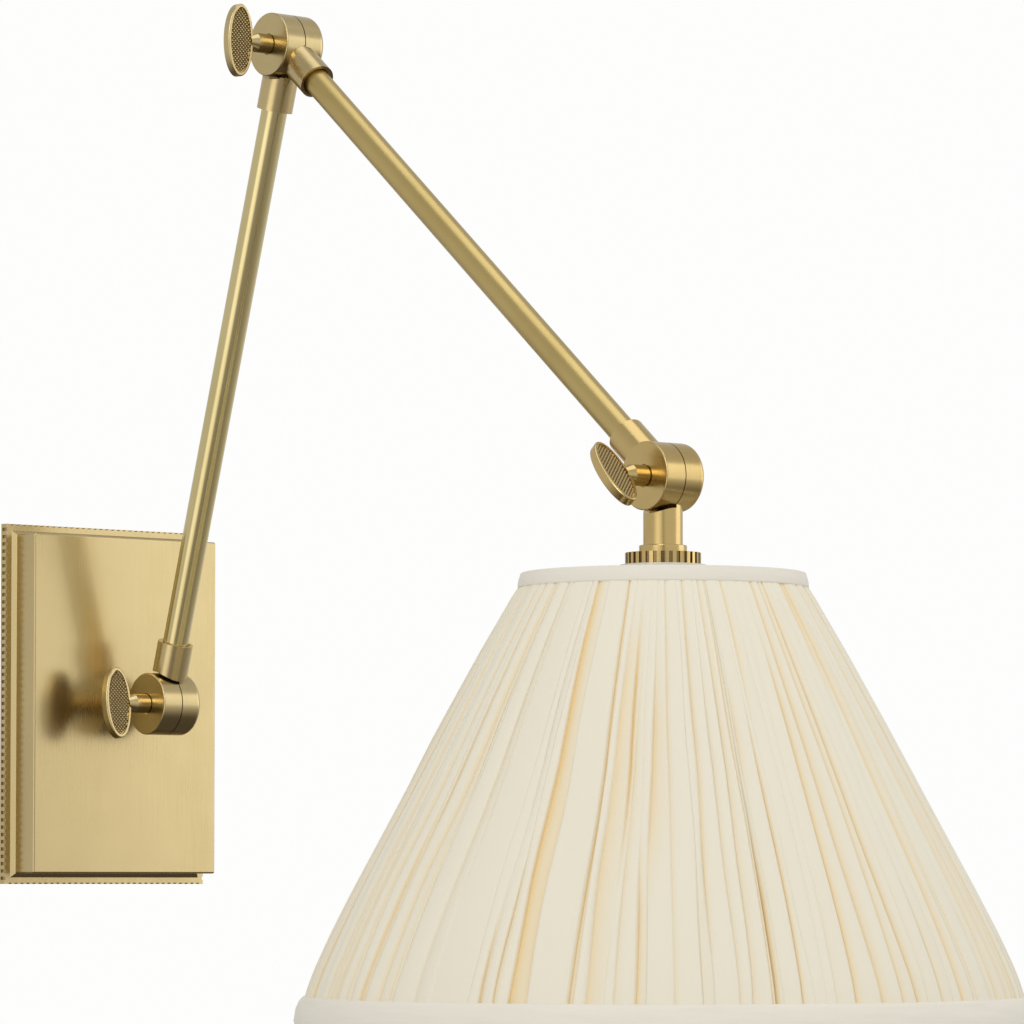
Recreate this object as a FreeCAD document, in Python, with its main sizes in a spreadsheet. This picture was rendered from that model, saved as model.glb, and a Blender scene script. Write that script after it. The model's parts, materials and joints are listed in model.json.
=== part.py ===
"""Swing arm wall sconce: a flat wall plate, two hollow arms on three hinged knuckles and a gathered shade.

Row frame: origin in the middle of the wall plate's back face, X to the right seen from the room,
-Y out into the room and +Z up. Every knuckle turns about an axis along X.
"""
import FreeCAD
import Part
import Sketcher
import os

doc = FreeCAD.newDocument("swing_arm_sconce")

# ---------------------------------------------------------------- driving dimensions, in mm and degrees
SIZES = {
    "plate_width": 121.5,
    "plate_height": 178,
    "plate_thickness": 4.3,
    "plate_lip": 1.0,
    "plate_rim": 8,
    "flute_pitch": 3.59,
    "flute_depth": 0.65,
    "flute_width": 1.7,
    "ledge_width": 3.25,
    "bevel_width": 2,
    "box_depth": 15.3,
    "box_wall": 1.2,
    "box_edge": 0.9,
    "strap_width": 26,
    "strap_thickness": 2,
    "strap_back": 0.6,
    "strap_tab": 13,
    "strap_side_gap": 0.5,
    "slot_spacing": 88.9,
    "slot_length": 18,
    "slot_width": 4.8,
    "side_screw_radius": 2,
    "side_screw_sink": 0.2,
    "side_screw_end": 0.4,
    "side_screw_length": 7,
    "side_screw_clearance": 0.2,
    "side_screw_out": 10.5,
    "ground_screw_radius": 1.9,
    "ground_screw_length": 2.4,
    "ground_screw_head": 3.6,
    "ground_screw_head_height": 2.2,
    "screw_slot_depth": 0.8,
    "screw_slot_width": 0.9,
    "seat_gap": 0.02,
    "ground_screw_height": 24,
    "pivot_out": 46.3,
    "lower_arm_length": 330.9,
    "lower_arm_tilt": 17.25,
    "upper_arm_length": 354.6,
    "upper_arm_tilt": 129.5,
    "barrel_radius": 15.3,
    "half_width": 11,
    "right_half": 12.2,
    "seam_gap": 0.5,
    "barrel_end_round": 3,
    "barrel_face_round": 0.6,
    "socket_radius": 8.75,
    "socket_reach": 31.5,
    "socket_clearance": 1.3,
    "socket_spacing": 0.6,
    "socket_bore_depth": 13.5,
    "mouth_chamfer": 0.9,
    "tube_radius": 6.35,
    "tube_wall": 1,
    "tube_fit": 0.15,
    "tube_end_gap": 0.5,
    "wire_radius": 2,
    "wire_hole_radius": 3,
    "wire_hole_floor": 1.5,
    "washer_play": 0.04,
    "washer_outer": 13.6,
    "washer_hole_play": 1,
    "shank_radius": 2.5,
    "shank_clearance": 0.1,
    "thread_clearance": 0.05,
    "shank_reach": 8,
    "shank_end": 0.6,
    "stem_radius": 4.7,
    "stem_length": 8.2,
    "stem_sink": 0.8,
    "counterbore_depth": 0.9,
    "counterbore_clearance": 0.5,
    "taper_length": 4.5,
    "taper_radius": 2.6,
    "paddle_width": 15,
    "paddle_height": 35,
    "paddle_thickness": 4.5,
    "paddle_gap": 10.5,
    "paddle_rim": 1.5,
    "paddle_recess": 0.8,
    "paddle_round": 0.6,
    "wall_paddle_turn": -6.6,
    "elbow_paddle_turn": 1,
    "shade_paddle_turn": -40,
    "nipple_radius": 4.8,
    "nipple_bore": 3.4,
    "nipple_fit": 0.1,
    "nipple_grip": 12,
    "nipple_end_gap": 0.3,
    "nipple_past_nut": 2,
    "nipple_past_cap": 4,
    "nut_across": 14,
    "nut_height": 3,
    "lock_washer_radius": 9,
    "lock_washer_height": 1,
    "neck_reach": 30.3,
    "collar_radius": 10.6,
    "collar_height": 3.3,
    "collar_round": 0.4,
    "ring_radius": 16.75,
    "ring_height": 5.3,
    "ring_flutes": 30,
    "ring_flute_depth": 0.7,
    "ring_flute_share": 0.48,
    "hub_radius": 19,
    "hub_height": 1,
    "shade_drop": 42.6,
    "cover_drop": 1,
    "shade_height": 199.4,
    "cover_top_radius": 61.5,
    "cover_knee_radius": 142.7,
    "cover_knee_depth": 150,
    "cover_bottom_radius": 159.5,
    "cover_wall": 1.6,
    "band_wall": 1.2,
    "band_gap": 0.3,
    "top_band_height": 6.8,
    "top_band_lip": 4.5,
    "bottom_band_height": 14,
    "roll_edge": 1.2,
    "roll_rise": 2.6,
    "bottom_band_wall": 4,
    "hem_tuck": 2,
    "wire_frame_radius": 1.6,
    "rib_radius": 1.2,
    "rib_inset": 3.7,
    "frame_top_drop": 2.2,
    "frame_end_rise": 3,
    "top_wire_out": 0.5,
    "end_wire_in": 1.5,
    "spider_arm_inset": 3,
    "spider_arm_drop": 0.6,
    "rib_count": 6,
    "spoke_count": 3,
    "lining_inset": 6,
    "lining_wall": 0.8,
    "lining_end": 6,
    "cap_radius": 17.5,
    "cap_height": 17,
    "cap_crown": 6,
    "cap_neck_radius": 9.6,
    "cap_slope_wall": 0.5,
    "core_drop": 2,
    "cap_wall": 1.1,
    "shell_fit": 0.2,
    "shell_wall": 1,
    "shell_height": 36,
    "core_height": 6,
    "screw_shell_height": 26.4,
    "screw_shell_wall": 0.5,
    "screw_shell_radius": 13.9,
    "screw_shell_bore": 6.5,
    "core_bore": 3,
    "contact_radius": 4,
    "contact_height": 1,
    "contact_rim": 0.6,
    "bulb_cap_radius": 13.1,
    "bulb_cap_height": 24.5,
    "bulb_tip_height": 1.4,
    "bulb_seat_gap": 2.6,
    "bulb_cap_shoulder": 1.5,
    "bulb_tip_radius": 5,
    "bulb_radius": 30,
    "bulb_centre_drop": 50,
    "bulb_glass_wall": 0.8,
}
# sizes that follow from the driving ones
DERIVED = {
    "box_width": "=plate_width - 2 * (ledge_width + bevel_width)",
    "box_height": "=plate_height - 2 * (ledge_width + bevel_width)",
    "box_front": "=plate_thickness + bevel_width + box_depth",
    "opening_width": "=box_width - 2 * (plate_rim - ledge_width - bevel_width)",
    "opening_height": "=box_height - 2 * (plate_rim - ledge_width - bevel_width)",
    "strap_length": "=opening_height - 2 * strap_side_gap",
    "seam_x": "=half_width / 2",
    "left_face": "=-half_width / 2",
    "left_seam": "=seam_x - seam_gap / 2",
    "right_seam": "=seam_x + seam_gap / 2",
    "right_face": "=seam_x + right_half",
    "elbow_angle": "=180 - upper_arm_tilt + lower_arm_tilt",
    "socket_meeting": "=socket_radius / sin(elbow_angle / 2)",
    "socket_gap_radius": "=max(barrel_radius + socket_clearance; socket_meeting + socket_spacing)",
    "wall_post_length": "=pivot_out - box_front",
    "elbow_y": "=-(pivot_out + lower_arm_length * sin(lower_arm_tilt))",
    "elbow_z": "=lower_arm_length * cos(lower_arm_tilt)",
    "shade_y": "=elbow_y - upper_arm_length * sin(upper_arm_tilt)",
    "shade_z": "=elbow_z + upper_arm_length * cos(upper_arm_tilt)",
    "tube_start": "=socket_reach - socket_bore_depth + tube_end_gap",
    "paddle_x": "=left_face - paddle_gap - paddle_width / 2",
    "collar_top": "=-neck_reach",
    "ring_top": "=collar_top - collar_height",
    "hub_top": "=ring_top - ring_height",
    "cap_top": "=hub_top - hub_height",
    "core_top": "=cap_top - cap_crown - core_drop",
    "contact_top": "=core_top - core_height",
    "bulb_top": "=contact_top - bulb_seat_gap",
    "bulb_neck": "=bulb_top - bulb_cap_height",
    "cover_top": "=-shade_drop - cover_drop",
    "cover_end": "=-shade_drop - shade_height + hem_tuck",
    "cover_slope": "=(cover_knee_radius - cover_top_radius) / cover_knee_depth",
    "frame_top": "=cover_top - frame_top_drop",
    "frame_end": "=cover_end + frame_end_rise",
    "frame_top_radius": "=cover_top_radius - rib_inset + top_wire_out",
    "frame_end_radius": "=cover_bottom_radius - rib_inset - end_wire_in",
}

sheet = doc.addObject("Spreadsheet::Sheet", "Sizes")
for row, (alias, content) in enumerate(list(SIZES.items()) + list(DERIVED.items()), start=1):
    sheet.set("A%d" % row, alias)
    sheet.set("B%d" % row, str(content))
    sheet.setAlias("B%d" % row, alias)
doc.recompute()


def size(alias):
    """The plain number in a cell of the size sheet."""
    return float(sheet.get(alias))


def value(formula):
    """The number that a formula on the sheet's aliases gives now."""
    found = sheet.evalExpression(str(formula))
    return float(getattr(found, "Value", found))


def bound(formula):
    """The same formula with its aliases spelt as this document's cells, for setExpression."""
    words = []
    word = ""
    for letter in str(formula) + " ":
        if letter.isalnum() or letter == "_":
            word += letter
            continue
        words.append("Sizes." + word if word in ALIASES else word)
        words.append(letter)
        word = ""
    return "".join(words).strip()


ALIASES = set(SIZES) | set(DERIVED)
PIECES = []


def place(piece, x="0", y="0", z="0", turn=None):
    """Puts a piece's own origin at (x, y, z), turned about X by the formula turn."""
    if turn is not None:
        spin = FreeCAD.Rotation(FreeCAD.Vector(1, 0, 0), value(turn))
        piece.Placement = FreeCAD.Placement(FreeCAD.Vector(), spin)
        piece.setExpression("Placement.Rotation.Angle", bound(turn))
    for axis, formula in zip("xyz", (x, y, z)):
        piece.setExpression("Placement.Base." + axis, bound(formula))
    return piece


def keep(piece, label):
    """Marks a finished piece as one node of the model."""
    piece.Label = label
    PIECES.append(piece)
    return piece


def at_wall_pivot(piece, turn="0"):
    return place(piece, "0", "-pivot_out", "0", turn)


def at_elbow(piece, turn="0"):
    return place(piece, "0", "elbow_y", "elbow_z", turn)


def at_shade_pivot(piece, turn="0"):
    return place(piece, "0", "shade_y", "shade_z", turn)


def at_shade_axis(piece):
    return place(piece, "seam_x", "shade_y", "shade_z")


# ---------------------------------------------------------------- PartDesign helpers
def new_body(name):
    return doc.addObject("PartDesign::Body", name)


def new_sketch(body, name, role, offset="0"):
    """A sketch on one of the body's own origin planes, moved along its normal by the formula offset."""
    sketch = body.newObject("Sketcher::SketchObject", name)
    plane = [p for p in body.Origin.OriginFeatures if p.Role == role][0]
    sketch.AttachmentSupport = (plane, [""])
    sketch.MapMode = "FlatFace"
    sketch.setExpression("AttachmentOffset.Base.z", bound(offset))
    return sketch


def fix_point(sketch, geometry, corner, x, y):
    """Holds one point of a sketch at the formulas x and y."""
    for kind, formula, axis in (("DistanceX", x, -2), ("DistanceY", y, -1)):
        if formula == "0":
            sketch.addConstraint(Sketcher.Constraint("PointOnObject", geometry, corner, axis))
            continue
        index = sketch.addConstraint(Sketcher.Constraint(kind, -1, 1, geometry, corner, value(formula)))
        sketch.setExpression("Constraints[%d]" % index, bound(formula))


def outline(body, name, role, points, offset="0"):
    """A closed outline of straight edges through points given as formulas."""
    sketch = new_sketch(body, name, role, offset)
    spots = [FreeCAD.Vector(value(x), value(y), 0) for x, y in points]
    for index, spot in enumerate(spots):
        sketch.addGeometry(Part.LineSegment(spot, spots[(index + 1) % len(spots)]))
    for index, (x, y) in enumerate(points):
        sketch.addConstraint(Sketcher.Constraint("Coincident", index, 2, (index + 1) % len(points), 1))
        fix_point(sketch, index, 1, x, y)
    return sketch


def rectangle(body, name, role, width, height, offset="0", x="0", y="0"):
    """A centred rectangle outline."""
    left, right = "%s - (%s) / 2" % (x, width), "%s + (%s) / 2" % (x, width)
    low, high = "%s - (%s) / 2" % (y, height), "%s + (%s) / 2" % (y, height)
    return outline(body, name, role, [(left, low), (right, low), (right, high), (left, high)], offset)


def disc(body, name, role, radius, x="0", y="0", offset="0"):
    """One circle."""
    sketch = new_sketch(body, name, role, offset)
    middle = FreeCAD.Vector(value(x), value(y), 0)
    sketch.addGeometry(Part.Circle(middle, FreeCAD.Vector(0, 0, 1), value(radius)))
    fix_point(sketch, 0, 3, x, y)
    index = sketch.addConstraint(Sketcher.Constraint("Radius", 0, value(radius)))
    sketch.setExpression("Constraints[%d]" % index, bound(radius))
    return sketch


def pad(body, sketch, length, backwards=False, both=False):
    feature = body.newObject("PartDesign::Pad", sketch.Name + "_pad")
    feature.Profile = sketch
    feature.setExpression("Length", bound(length))
    feature.Reversed = backwards
    feature.Midplane = both
    return feature


def pocket(body, sketch, depth, backwards=False, both=False):
    """A cut, checked to remove something."""
    doc.recompute()
    before = body.Shape.Volume
    feature = body.newObject("PartDesign::Pocket", sketch.Name + "_cut")
    feature.Profile = sketch
    feature.setExpression("Length", bound(depth))
    feature.Reversed = backwards
    feature.Midplane = both
    doc.recompute()
    if body.Shape.Volume > before - 1e-6:
        raise ValueError("%s cuts nothing" % feature.Name)
    return feature


def turned(body, name, points, role="XZ_Plane", axis="V_Axis"):
    """A solid of revolution of an outline about one axis of its sketch."""
    sketch = outline(body, name, role, points)
    feature = body.newObject("PartDesign::Revolution", name + "_turned")
    feature.Profile = sketch
    feature.ReferenceAxis = (sketch, [axis])
    feature.Angle = 360
    return feature


def edges_where(body, test):
    return ["Edge%d" % number for number, edge in enumerate(body.Shape.Edges, start=1) if test(edge)]


def circle_at(radius, axis, where):
    """A test for full round edges of one radius whose centre lies at one coordinate."""
    def test(edge):
        curve = edge.Curve
        if not isinstance(curve, Part.Circle) or abs(curve.Radius - radius) > 1e-3:
            return False
        return abs(getattr(curve.Center, axis) - where) < 1e-3
    return test


def round_edges(body, name, test, radius, kind="Fillet"):
    """Rounds or chamfers the edges that pass the test."""
    doc.recompute()
    found = edges_where(body, test)
    if not found:
        raise ValueError("%s finds no edge" % name)
    base = body.Tip
    feature = body.newObject("PartDesign::" + kind, name)
    feature.Base = (base, found)
    feature.setExpression("Radius" if kind == "Fillet" else "Size", bound(radius))
    return feature


def pattern(body, name, feature, axis_role, length, count):
    """Repeats a feature along one of the body's axes, over a length."""
    repeat = body.newObject("PartDesign::LinearPattern", name)
    repeat.Originals = [feature]
    line = [a for a in body.Origin.OriginFeatures if a.Role == axis_role][0]
    repeat.Direction = (line, [""])
    repeat.setExpression("Length", bound(length))
    repeat.setExpression("Occurrences", bound(count))
    body.Tip = repeat
    return repeat


def round_pattern(body, name, feature, count, axis_role="Z_Axis"):
    """Repeats a feature all the way round one of the body's axes."""
    repeat = body.newObject("PartDesign::PolarPattern", name)
    repeat.Originals = [feature]
    line = [a for a in body.Origin.OriginFeatures if a.Role == axis_role][0]
    repeat.Axis = (line, [""])
    repeat.Angle = 360
    repeat.setExpression("Occurrences", bound(count))
    body.Tip = repeat
    return repeat


# ---------------------------------------------------------------- wall plate, box and strap
def base_plate():
    """A plate with a coin-fluted edge, a plain lip at the wall and a bevelled step up to the box."""
    body = new_body("BasePlate")
    pad(body, rectangle(body, "plate", "XZ_Plane", "plate_width", "plate_height"), "plate_thickness")
    across = "floor((plate_width - flute_width) / flute_pitch)"
    up = "floor((plate_height - flute_width) / flute_pitch)"
    reach = "plate_thickness - plate_lip"
    sides = (
        ("side", "Z_Axis", up, "flute_depth * 2", "flute_width"),
        ("end", "X_Axis", across, "flute_width", "flute_depth * 2"),
    )
    for name, axis, count, wide, tall in sides:
        for sign in ("-", ""):
            start = "-(%s - 1) / 2 * flute_pitch" % count
            x = sign + "plate_width / 2" if name == "side" else start
            y = start if name == "side" else sign + "plate_height / 2"
            label = "%s_flute_%s" % (name, "low" if sign else "high")
            notch = rectangle(body, label, "XZ_Plane", wide, tall, "plate_lip", x, y)
            cut = pocket(body, notch, reach + " + 1", backwards=True)
            pattern(body, label + "_row", cut, axis, "(%s - 1) * flute_pitch" % count, count)
    step = rectangle(body, "step", "XZ_Plane", "box_width + 2 * bevel_width",
                     "box_height + 2 * bevel_width", "plate_thickness")
    pad(body, step, "bevel_width")
    doc.recompute()
    front = -size("plate_thickness") - size("bevel_width")
    half_width = size("box_width") / 2 + size("bevel_width")

    def step_edge(edge):
        box = edge.BoundBox
        return box.YLength < 1e-6 and abs(box.YMin - front) < 1e-3 and edge.Length > half_width
    round_edges(body, "step_bevel", step_edge, "bevel_width - 0.01", "Chamfer")
    opening = rectangle(body, "opening", "XZ_Plane", "opening_width", "opening_height")
    pocket(body, opening, "plate_thickness + bevel_width", backwards=True)
    return keep(body, "base_plate")


def cover_box():
    """A pressed pan, open at the back, whose front carries the arm's post."""
    body = new_body("CoverBox")
    start = "plate_thickness + bevel_width"
    pad(body, rectangle(body, "pan", "XZ_Plane", "box_width", "box_height", start), "box_depth")
    doc.recompute()
    front = -size("box_front")

    def outer_edge(edge):
        box = edge.BoundBox
        at_front = box.YLength < 1e-6 and abs(box.YMin - front) < 1e-3
        return at_front or abs(box.YLength - size("box_depth")) < 1e-3
    round_edges(body, "pan_edges", outer_edge, "box_edge")
    hollow = rectangle(body, "hollow", "XZ_Plane", "box_width - 2 * box_wall",
                       "box_height - 2 * box_wall", start)
    pocket(body, hollow, "box_depth - box_wall", backwards=True)
    pocket(body, disc(body, "post_hole", "XZ_Plane", "nipple_radius + nipple_fit", offset="box_front"),
           "box_wall * 4", both=True)
    bore = "side_screw_radius + side_screw_clearance"
    holes = disc(body, "side_holes", "XY_Plane", bore, y="-side_screw_out")
    pocket(body, holes, "box_height + 2", both=True)
    return keep(body, "cover_box")


def mounting_strap():
    """A folded steel strap with two slots for the wall box and a tab at each end for the side screws."""
    body = new_body("MountingStrap")
    back, face, tip = "-strap_back", "-(strap_back + strap_thickness)", "-(strap_back + strap_tab)"
    end, inner = "strap_length / 2", "strap_length / 2 - strap_thickness"
    points = [(back, "-(%s)" % end), (back, end), (tip, end), (tip, inner), (face, inner),
              (face, "-(%s)" % inner), (tip, "-(%s)" % inner), (tip, "-(%s)" % end)]
    pad(body, outline(body, "fold", "YZ_Plane", points), "strap_width", both=True)
    for sign in ("-", ""):
        word = "low" if sign else "high"
        centre = sign + "slot_spacing / 2"
        straight = "slot_length - slot_width"
        middle = rectangle(body, word + "_slot", "XZ_Plane", "slot_width", straight, y=centre)
        pocket(body, middle, "strap_back + strap_thickness + 1", backwards=True)
        for end_sign in ("-", "+"):
            y = "%s %s (%s) / 2" % (centre, end_sign, straight)
            name = "%s_slot_%s" % (word, "a" if end_sign == "-" else "b")
            pocket(body, disc(body, name, "XZ_Plane", "slot_width / 2", y=y),
                   "strap_back + strap_thickness + 1", backwards=True)
    pocket(body, disc(body, "ground_hole", "XZ_Plane", "ground_screw_radius + thread_clearance",
                      y="ground_screw_height"), "strap_back + strap_thickness + 1", backwards=True)
    pocket(body, disc(body, "side_threads", "XY_Plane", "side_screw_radius + thread_clearance",
                      y="-side_screw_out"), "strap_length + 2", both=True)
    return keep(body, "mounting_strap")


def cylinder(name, radius, length, x="0", y="0", z="0", pitch=0):
    """A Part cylinder whose axis runs along its own +Z, tipped about X by pitch degrees."""
    solid = doc.addObject("Part::Cylinder", name)
    solid.setExpression("Radius", bound(radius))
    solid.setExpression("Height", bound(length))
    solid.Placement.Rotation = FreeCAD.Rotation(FreeCAD.Vector(1, 0, 0), pitch)
    for axis, formula in zip("xyz", (x, y, z)):
        solid.setExpression("Placement.Base." + axis, bound(formula))
    return solid


def cut(name, base, tool):
    result = doc.addObject("Part::Cut", name)
    result.Base = base
    result.Tool = tool
    return result


def fuse(name, shapes):
    result = doc.addObject("Part::MultiFuse", name)
    result.Shapes = shapes
    return result


def driver_slot(body, name, across, height):
    """The straight slot for a screwdriver across a screw's outer end."""
    slot = rectangle(body, name + "_slot", "XY_Plane", "2 * (%s) + 1" % across, "screw_slot_width", height)
    pocket(body, slot, "screw_slot_depth")


def side_screws():
    """Two headless screws, sunk in the box's top and bottom, that hold it to the strap's tabs."""
    body = new_body("SideScrew")
    radius, end = "side_screw_radius", "side_screw_end"
    length = "-side_screw_length"
    turned(body, "side_screw_profile", [("0", length), ("%s - %s" % (radius, end), length),
                                        (radius, "%s + %s" % (length, end)), (radius, "-" + end),
                                        ("%s - %s" % (radius, end), "0"), ("0", "0")])
    driver_slot(body, "side_screw", radius, "0")
    doc.recompute()
    shapes = []
    for sign in (1, -1):
        shape = body.Shape.copy()
        turn = 0 if sign > 0 else 180
        height = size("box_height") / 2 - size("side_screw_sink")
        spot = FreeCAD.Vector(0, -size("side_screw_out"), sign * height)
        shape.Placement = FreeCAD.Placement(spot, FreeCAD.Rotation(FreeCAD.Vector(1, 0, 0), turn))
        shapes.append(shape)
    pair = doc.addObject("Part::Feature", "SideScrews")
    pair.Shape = Part.makeCompound(shapes)
    return keep(pair, "side_screws")


def ground_screw():
    """A round-headed screw in the strap for the ground wire."""
    body = new_body("GroundScrew")
    shank, head, tall = "ground_screw_radius", "ground_screw_head", "ground_screw_head_height"
    length = "-ground_screw_length"
    turned(body, "ground_screw_profile", [("0", length), (shank, length), (shank, "0"), (head, "0"),
                                          (head, "%s * 0.6" % tall), ("%s * 0.7" % head, tall), ("0", tall)])
    driver_slot(body, "ground_screw", head, tall)
    place(body, "0", "-(strap_back + strap_thickness + seat_gap)", "ground_screw_height", "90")
    return keep(body, "ground_screw")


def threaded_nipple(name, label, radius, bore, length):
    """A hollow threaded tube that carries the wires, standing up from z = 0."""
    outer = cylinder(name + "Outer", radius, length)
    inner = cylinder(name + "Bore", bore, "%s + 2" % length, z="-1")
    return keep(cut(name, outer, inner), label)


def hex_nut(name, label, across, height, bore):
    """A hexagon nut, its height along Z from z = 0."""
    prism = doc.addObject("Part::Prism", name + "Hexagon")
    prism.Polygon = 6
    prism.setExpression("Circumradius", bound("%s / sqrt(3)" % across))
    prism.setExpression("Height", bound(height))
    return keep(cut(name, prism, cylinder(name + "Bore", bore, height + " + 2", z="-1")), label)


def wall_fixings():
    """The nipple that joins post and box, with its washer and nut behind the box front."""
    inside = "lock_washer_height + nut_height + nipple_past_nut"
    length = "nipple_grip + box_wall + %s" % inside
    back = "-(box_front - box_wall)"
    nipple = threaded_nipple("WallNipple", "wall_nipple", "nipple_radius", "nipple_bore", length)
    place(nipple, "0", "-(box_front + nipple_grip)", "0", "-90")
    ring = cylinder("WallWasherOuter", "lock_washer_radius", "lock_washer_height")
    hole = cylinder("WallWasherBore", "nipple_radius + nipple_fit", "lock_washer_height + 2", z="-1")
    washer = keep(cut("WallWasher", ring, hole), "wall_lock_washer")
    place(washer, "0", back, "0", "-90")
    nut = hex_nut("WallNut", "wall_lock_nut", "nut_across", "nut_height", "nipple_radius + nipple_fit")
    place(nut, "0", back + " + lock_washer_height", "0", "-90")


# ---------------------------------------------------------------- knuckles, tubes and wires
def knuckle(name, label, left, centre="seam_x", reach="socket_reach", bore="tube_radius + tube_fit",
            bore_depth="socket_bore_depth", mouth=True, flush_face=False):
    """One half of a hinged barrel with a round socket standing along its own +Z.

    The barrel's axis is the piece's X axis. The socket joins its own half and leaves a gap over the other.
    """
    body = new_body(name)
    start = "left_face" if left else "right_seam"
    width = "half_width - seam_gap / 2" if left else "right_half - seam_gap / 2"
    pad(body, disc(body, name + "_barrel", "YZ_Plane", "barrel_radius", offset=start), width)
    pad(body, disc(body, name + "_socket", "XY_Plane", "socket_radius", x=centre), reach)
    seam = "left_seam" if left else "right_seam"
    clearing = disc(body, name + "_clearing", "YZ_Plane", "socket_gap_radius", offset=seam)
    pocket(body, clearing, "2 * half_width", backwards=left)
    if flush_face:
        facing = disc(body, name + "_facing", "YZ_Plane", "socket_gap_radius", offset="left_face")
        pocket(body, facing, "half_width")
    end = disc(body, name + "_bore", "XY_Plane", bore, x=centre, offset=reach)
    pocket(body, end, bore_depth)
    passage = disc(body, name + "_passage", "XY_Plane", "wire_hole_radius", x=centre, offset=reach)
    pocket(body, passage, "%s - shank_radius - wire_hole_floor" % reach)
    clearance = "shank_clearance" if left else "thread_clearance"
    axis_hole = disc(body, name + "_axis", "YZ_Plane", "shank_radius + " + clearance, offset=seam)
    pocket(body, axis_hole, "2 * half_width" if left else "shank_reach + 1", backwards=not left)
    if left:
        recess = disc(body, name + "_recess", "YZ_Plane", "stem_radius + counterbore_clearance", offset=start)
        pocket(body, recess, "counterbore_depth", backwards=True)
        rim = circle_at(size("barrel_radius"), "x", size("left_face"))
        round_edges(body, name + "_rim", rim, "barrel_face_round")
    else:
        rim = circle_at(size("barrel_radius"), "x", size("right_face"))
        round_edges(body, name + "_rim", rim, "barrel_end_round")
    if mouth:
        inner = circle_at(value(bore), "z", value(reach))
        round_edges(body, name + "_mouth", inner, "mouth_chamfer", "Chamfer")
    return keep(body, label)


def friction_washer(name, label):
    """A thin fibre washer in the seam of a barrel."""
    thickness = "seam_gap - washer_play"
    body = new_body(name)
    pad(body, disc(body, name + "_ring", "YZ_Plane", "washer_outer", offset="left_seam"), thickness)
    hole = disc(body, name + "_hole", "YZ_Plane", "shank_radius + washer_hole_play", offset="left_seam")
    pocket(body, hole, "seam_gap + 1", backwards=True)
    return keep(body, label)


def arm_tube(name, label, length):
    """A drawn tube between the sockets of two knuckles, along its own +Z."""
    run = "%s - 2 * tube_start" % length
    body = new_body(name)
    pad(body, disc(body, name + "_wall", "XY_Plane", "tube_radius", x="seam_x", offset="tube_start"), run)
    inner = "tube_radius - tube_wall"
    inside = disc(body, name + "_inside", "XY_Plane", inner, x="seam_x", offset="tube_start - 1")
    pocket(body, inside, run + " + 2", backwards=True)
    return keep(body, label)


def arm_wire(name, label, length):
    """The stretch of lamp wire inside an arm tube."""
    body = new_body(name)
    run = "%s - 2 * tube_start" % length
    pad(body, disc(body, name + "_jacket", "XY_Plane", "wire_radius", x="seam_x", offset="tube_start"), run)
    return keep(body, label)


def arms():
    """Both arms: a knuckle at each end, a tube and its wire."""
    at_wall_pivot(knuckle("LowerFoot", "lower_arm_foot_knuckle", False), "lower_arm_tilt")
    at_elbow(knuckle("LowerHead", "lower_arm_head_knuckle", False), "lower_arm_tilt + 180")
    at_wall_pivot(arm_tube("LowerTube", "lower_arm_tube", "lower_arm_length"), "lower_arm_tilt")
    at_wall_pivot(arm_wire("LowerWire", "lower_arm_wire", "lower_arm_length"), "lower_arm_tilt")
    at_elbow(knuckle("UpperFoot", "upper_arm_foot_knuckle", True), "upper_arm_tilt")
    at_shade_pivot(knuckle("UpperEnd", "upper_arm_end_knuckle", True), "upper_arm_tilt + 180")
    at_elbow(arm_tube("UpperTube", "upper_arm_tube", "upper_arm_length"), "upper_arm_tilt")
    at_elbow(arm_wire("UpperWire", "upper_arm_wire", "upper_arm_length"), "upper_arm_tilt")


def fixed_knuckles():
    """The wall's half barrel on its post and the shade's half barrel with its neck."""
    nipple_bore = "nipple_radius + nipple_fit"
    wall = knuckle("WallKnuckle", "wall_knuckle", True, "0", "wall_post_length", nipple_bore,
                   "nipple_grip + nipple_end_gap", mouth=False, flush_face=True)
    at_wall_pivot(wall, "-90")
    neck = knuckle("NeckKnuckle", "neck_knuckle", False, "seam_x", "neck_reach", nipple_bore,
                   "nipple_grip + nipple_end_gap", mouth=False)
    at_shade_pivot(neck, "180")


def seam_washers():
    at_wall_pivot(friction_washer("WallFriction", "wall_friction_washer"))
    at_elbow(friction_washer("ElbowFriction", "elbow_friction_washer"))
    at_shade_pivot(friction_washer("ShadeFriction", "shade_friction_washer"))


def thumb_screw(name, label):
    """A screw along X through the left half into the right one, with a flat oval paddle for the fingers."""
    body = new_body(name)
    shoulder = "left_face + stem_sink"
    stem_end = "left_face - stem_length"
    tip = "left_face - stem_length - taper_length"
    far_end = "right_seam + shank_reach"
    profile = [(far_end, "0"), (far_end, "shank_radius - shank_end"),
               (far_end + " - shank_end", "shank_radius"), (shoulder, "shank_radius"),
               (shoulder, "stem_radius"), (stem_end, "stem_radius"), (tip, "taper_radius"), (tip, "0")]
    turned(body, name + "_stem", profile, "XZ_Plane", "H_Axis")
    paddle = oval(body, name + "_paddle", "paddle_height / 2", "paddle_width / 2", "0")
    pad(body, paddle, "paddle_thickness", both=True)
    for side, letter in (("", "a"), ("-", "b")):
        recess = oval(body, name + "_recess_" + letter, "paddle_height / 2 - paddle_rim",
                      "paddle_width / 2 - paddle_rim", side + "(paddle_thickness / 2 + 1)")
        pocket(body, recess, "paddle_recess + 1", backwards=letter == "b")
    half = size("paddle_thickness") / 2
    reach = size("paddle_height") / 2

    def paddle_edge(edge):
        curve = edge.Curve
        wide = isinstance(curve, Part.Ellipse) and abs(curve.MajorRadius - reach) < 1e-3
        return wide and abs(abs(curve.Center.y) - half) < 1e-3
    round_edges(body, name + "_soft", paddle_edge, "paddle_round")
    return keep(body, label)


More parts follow.
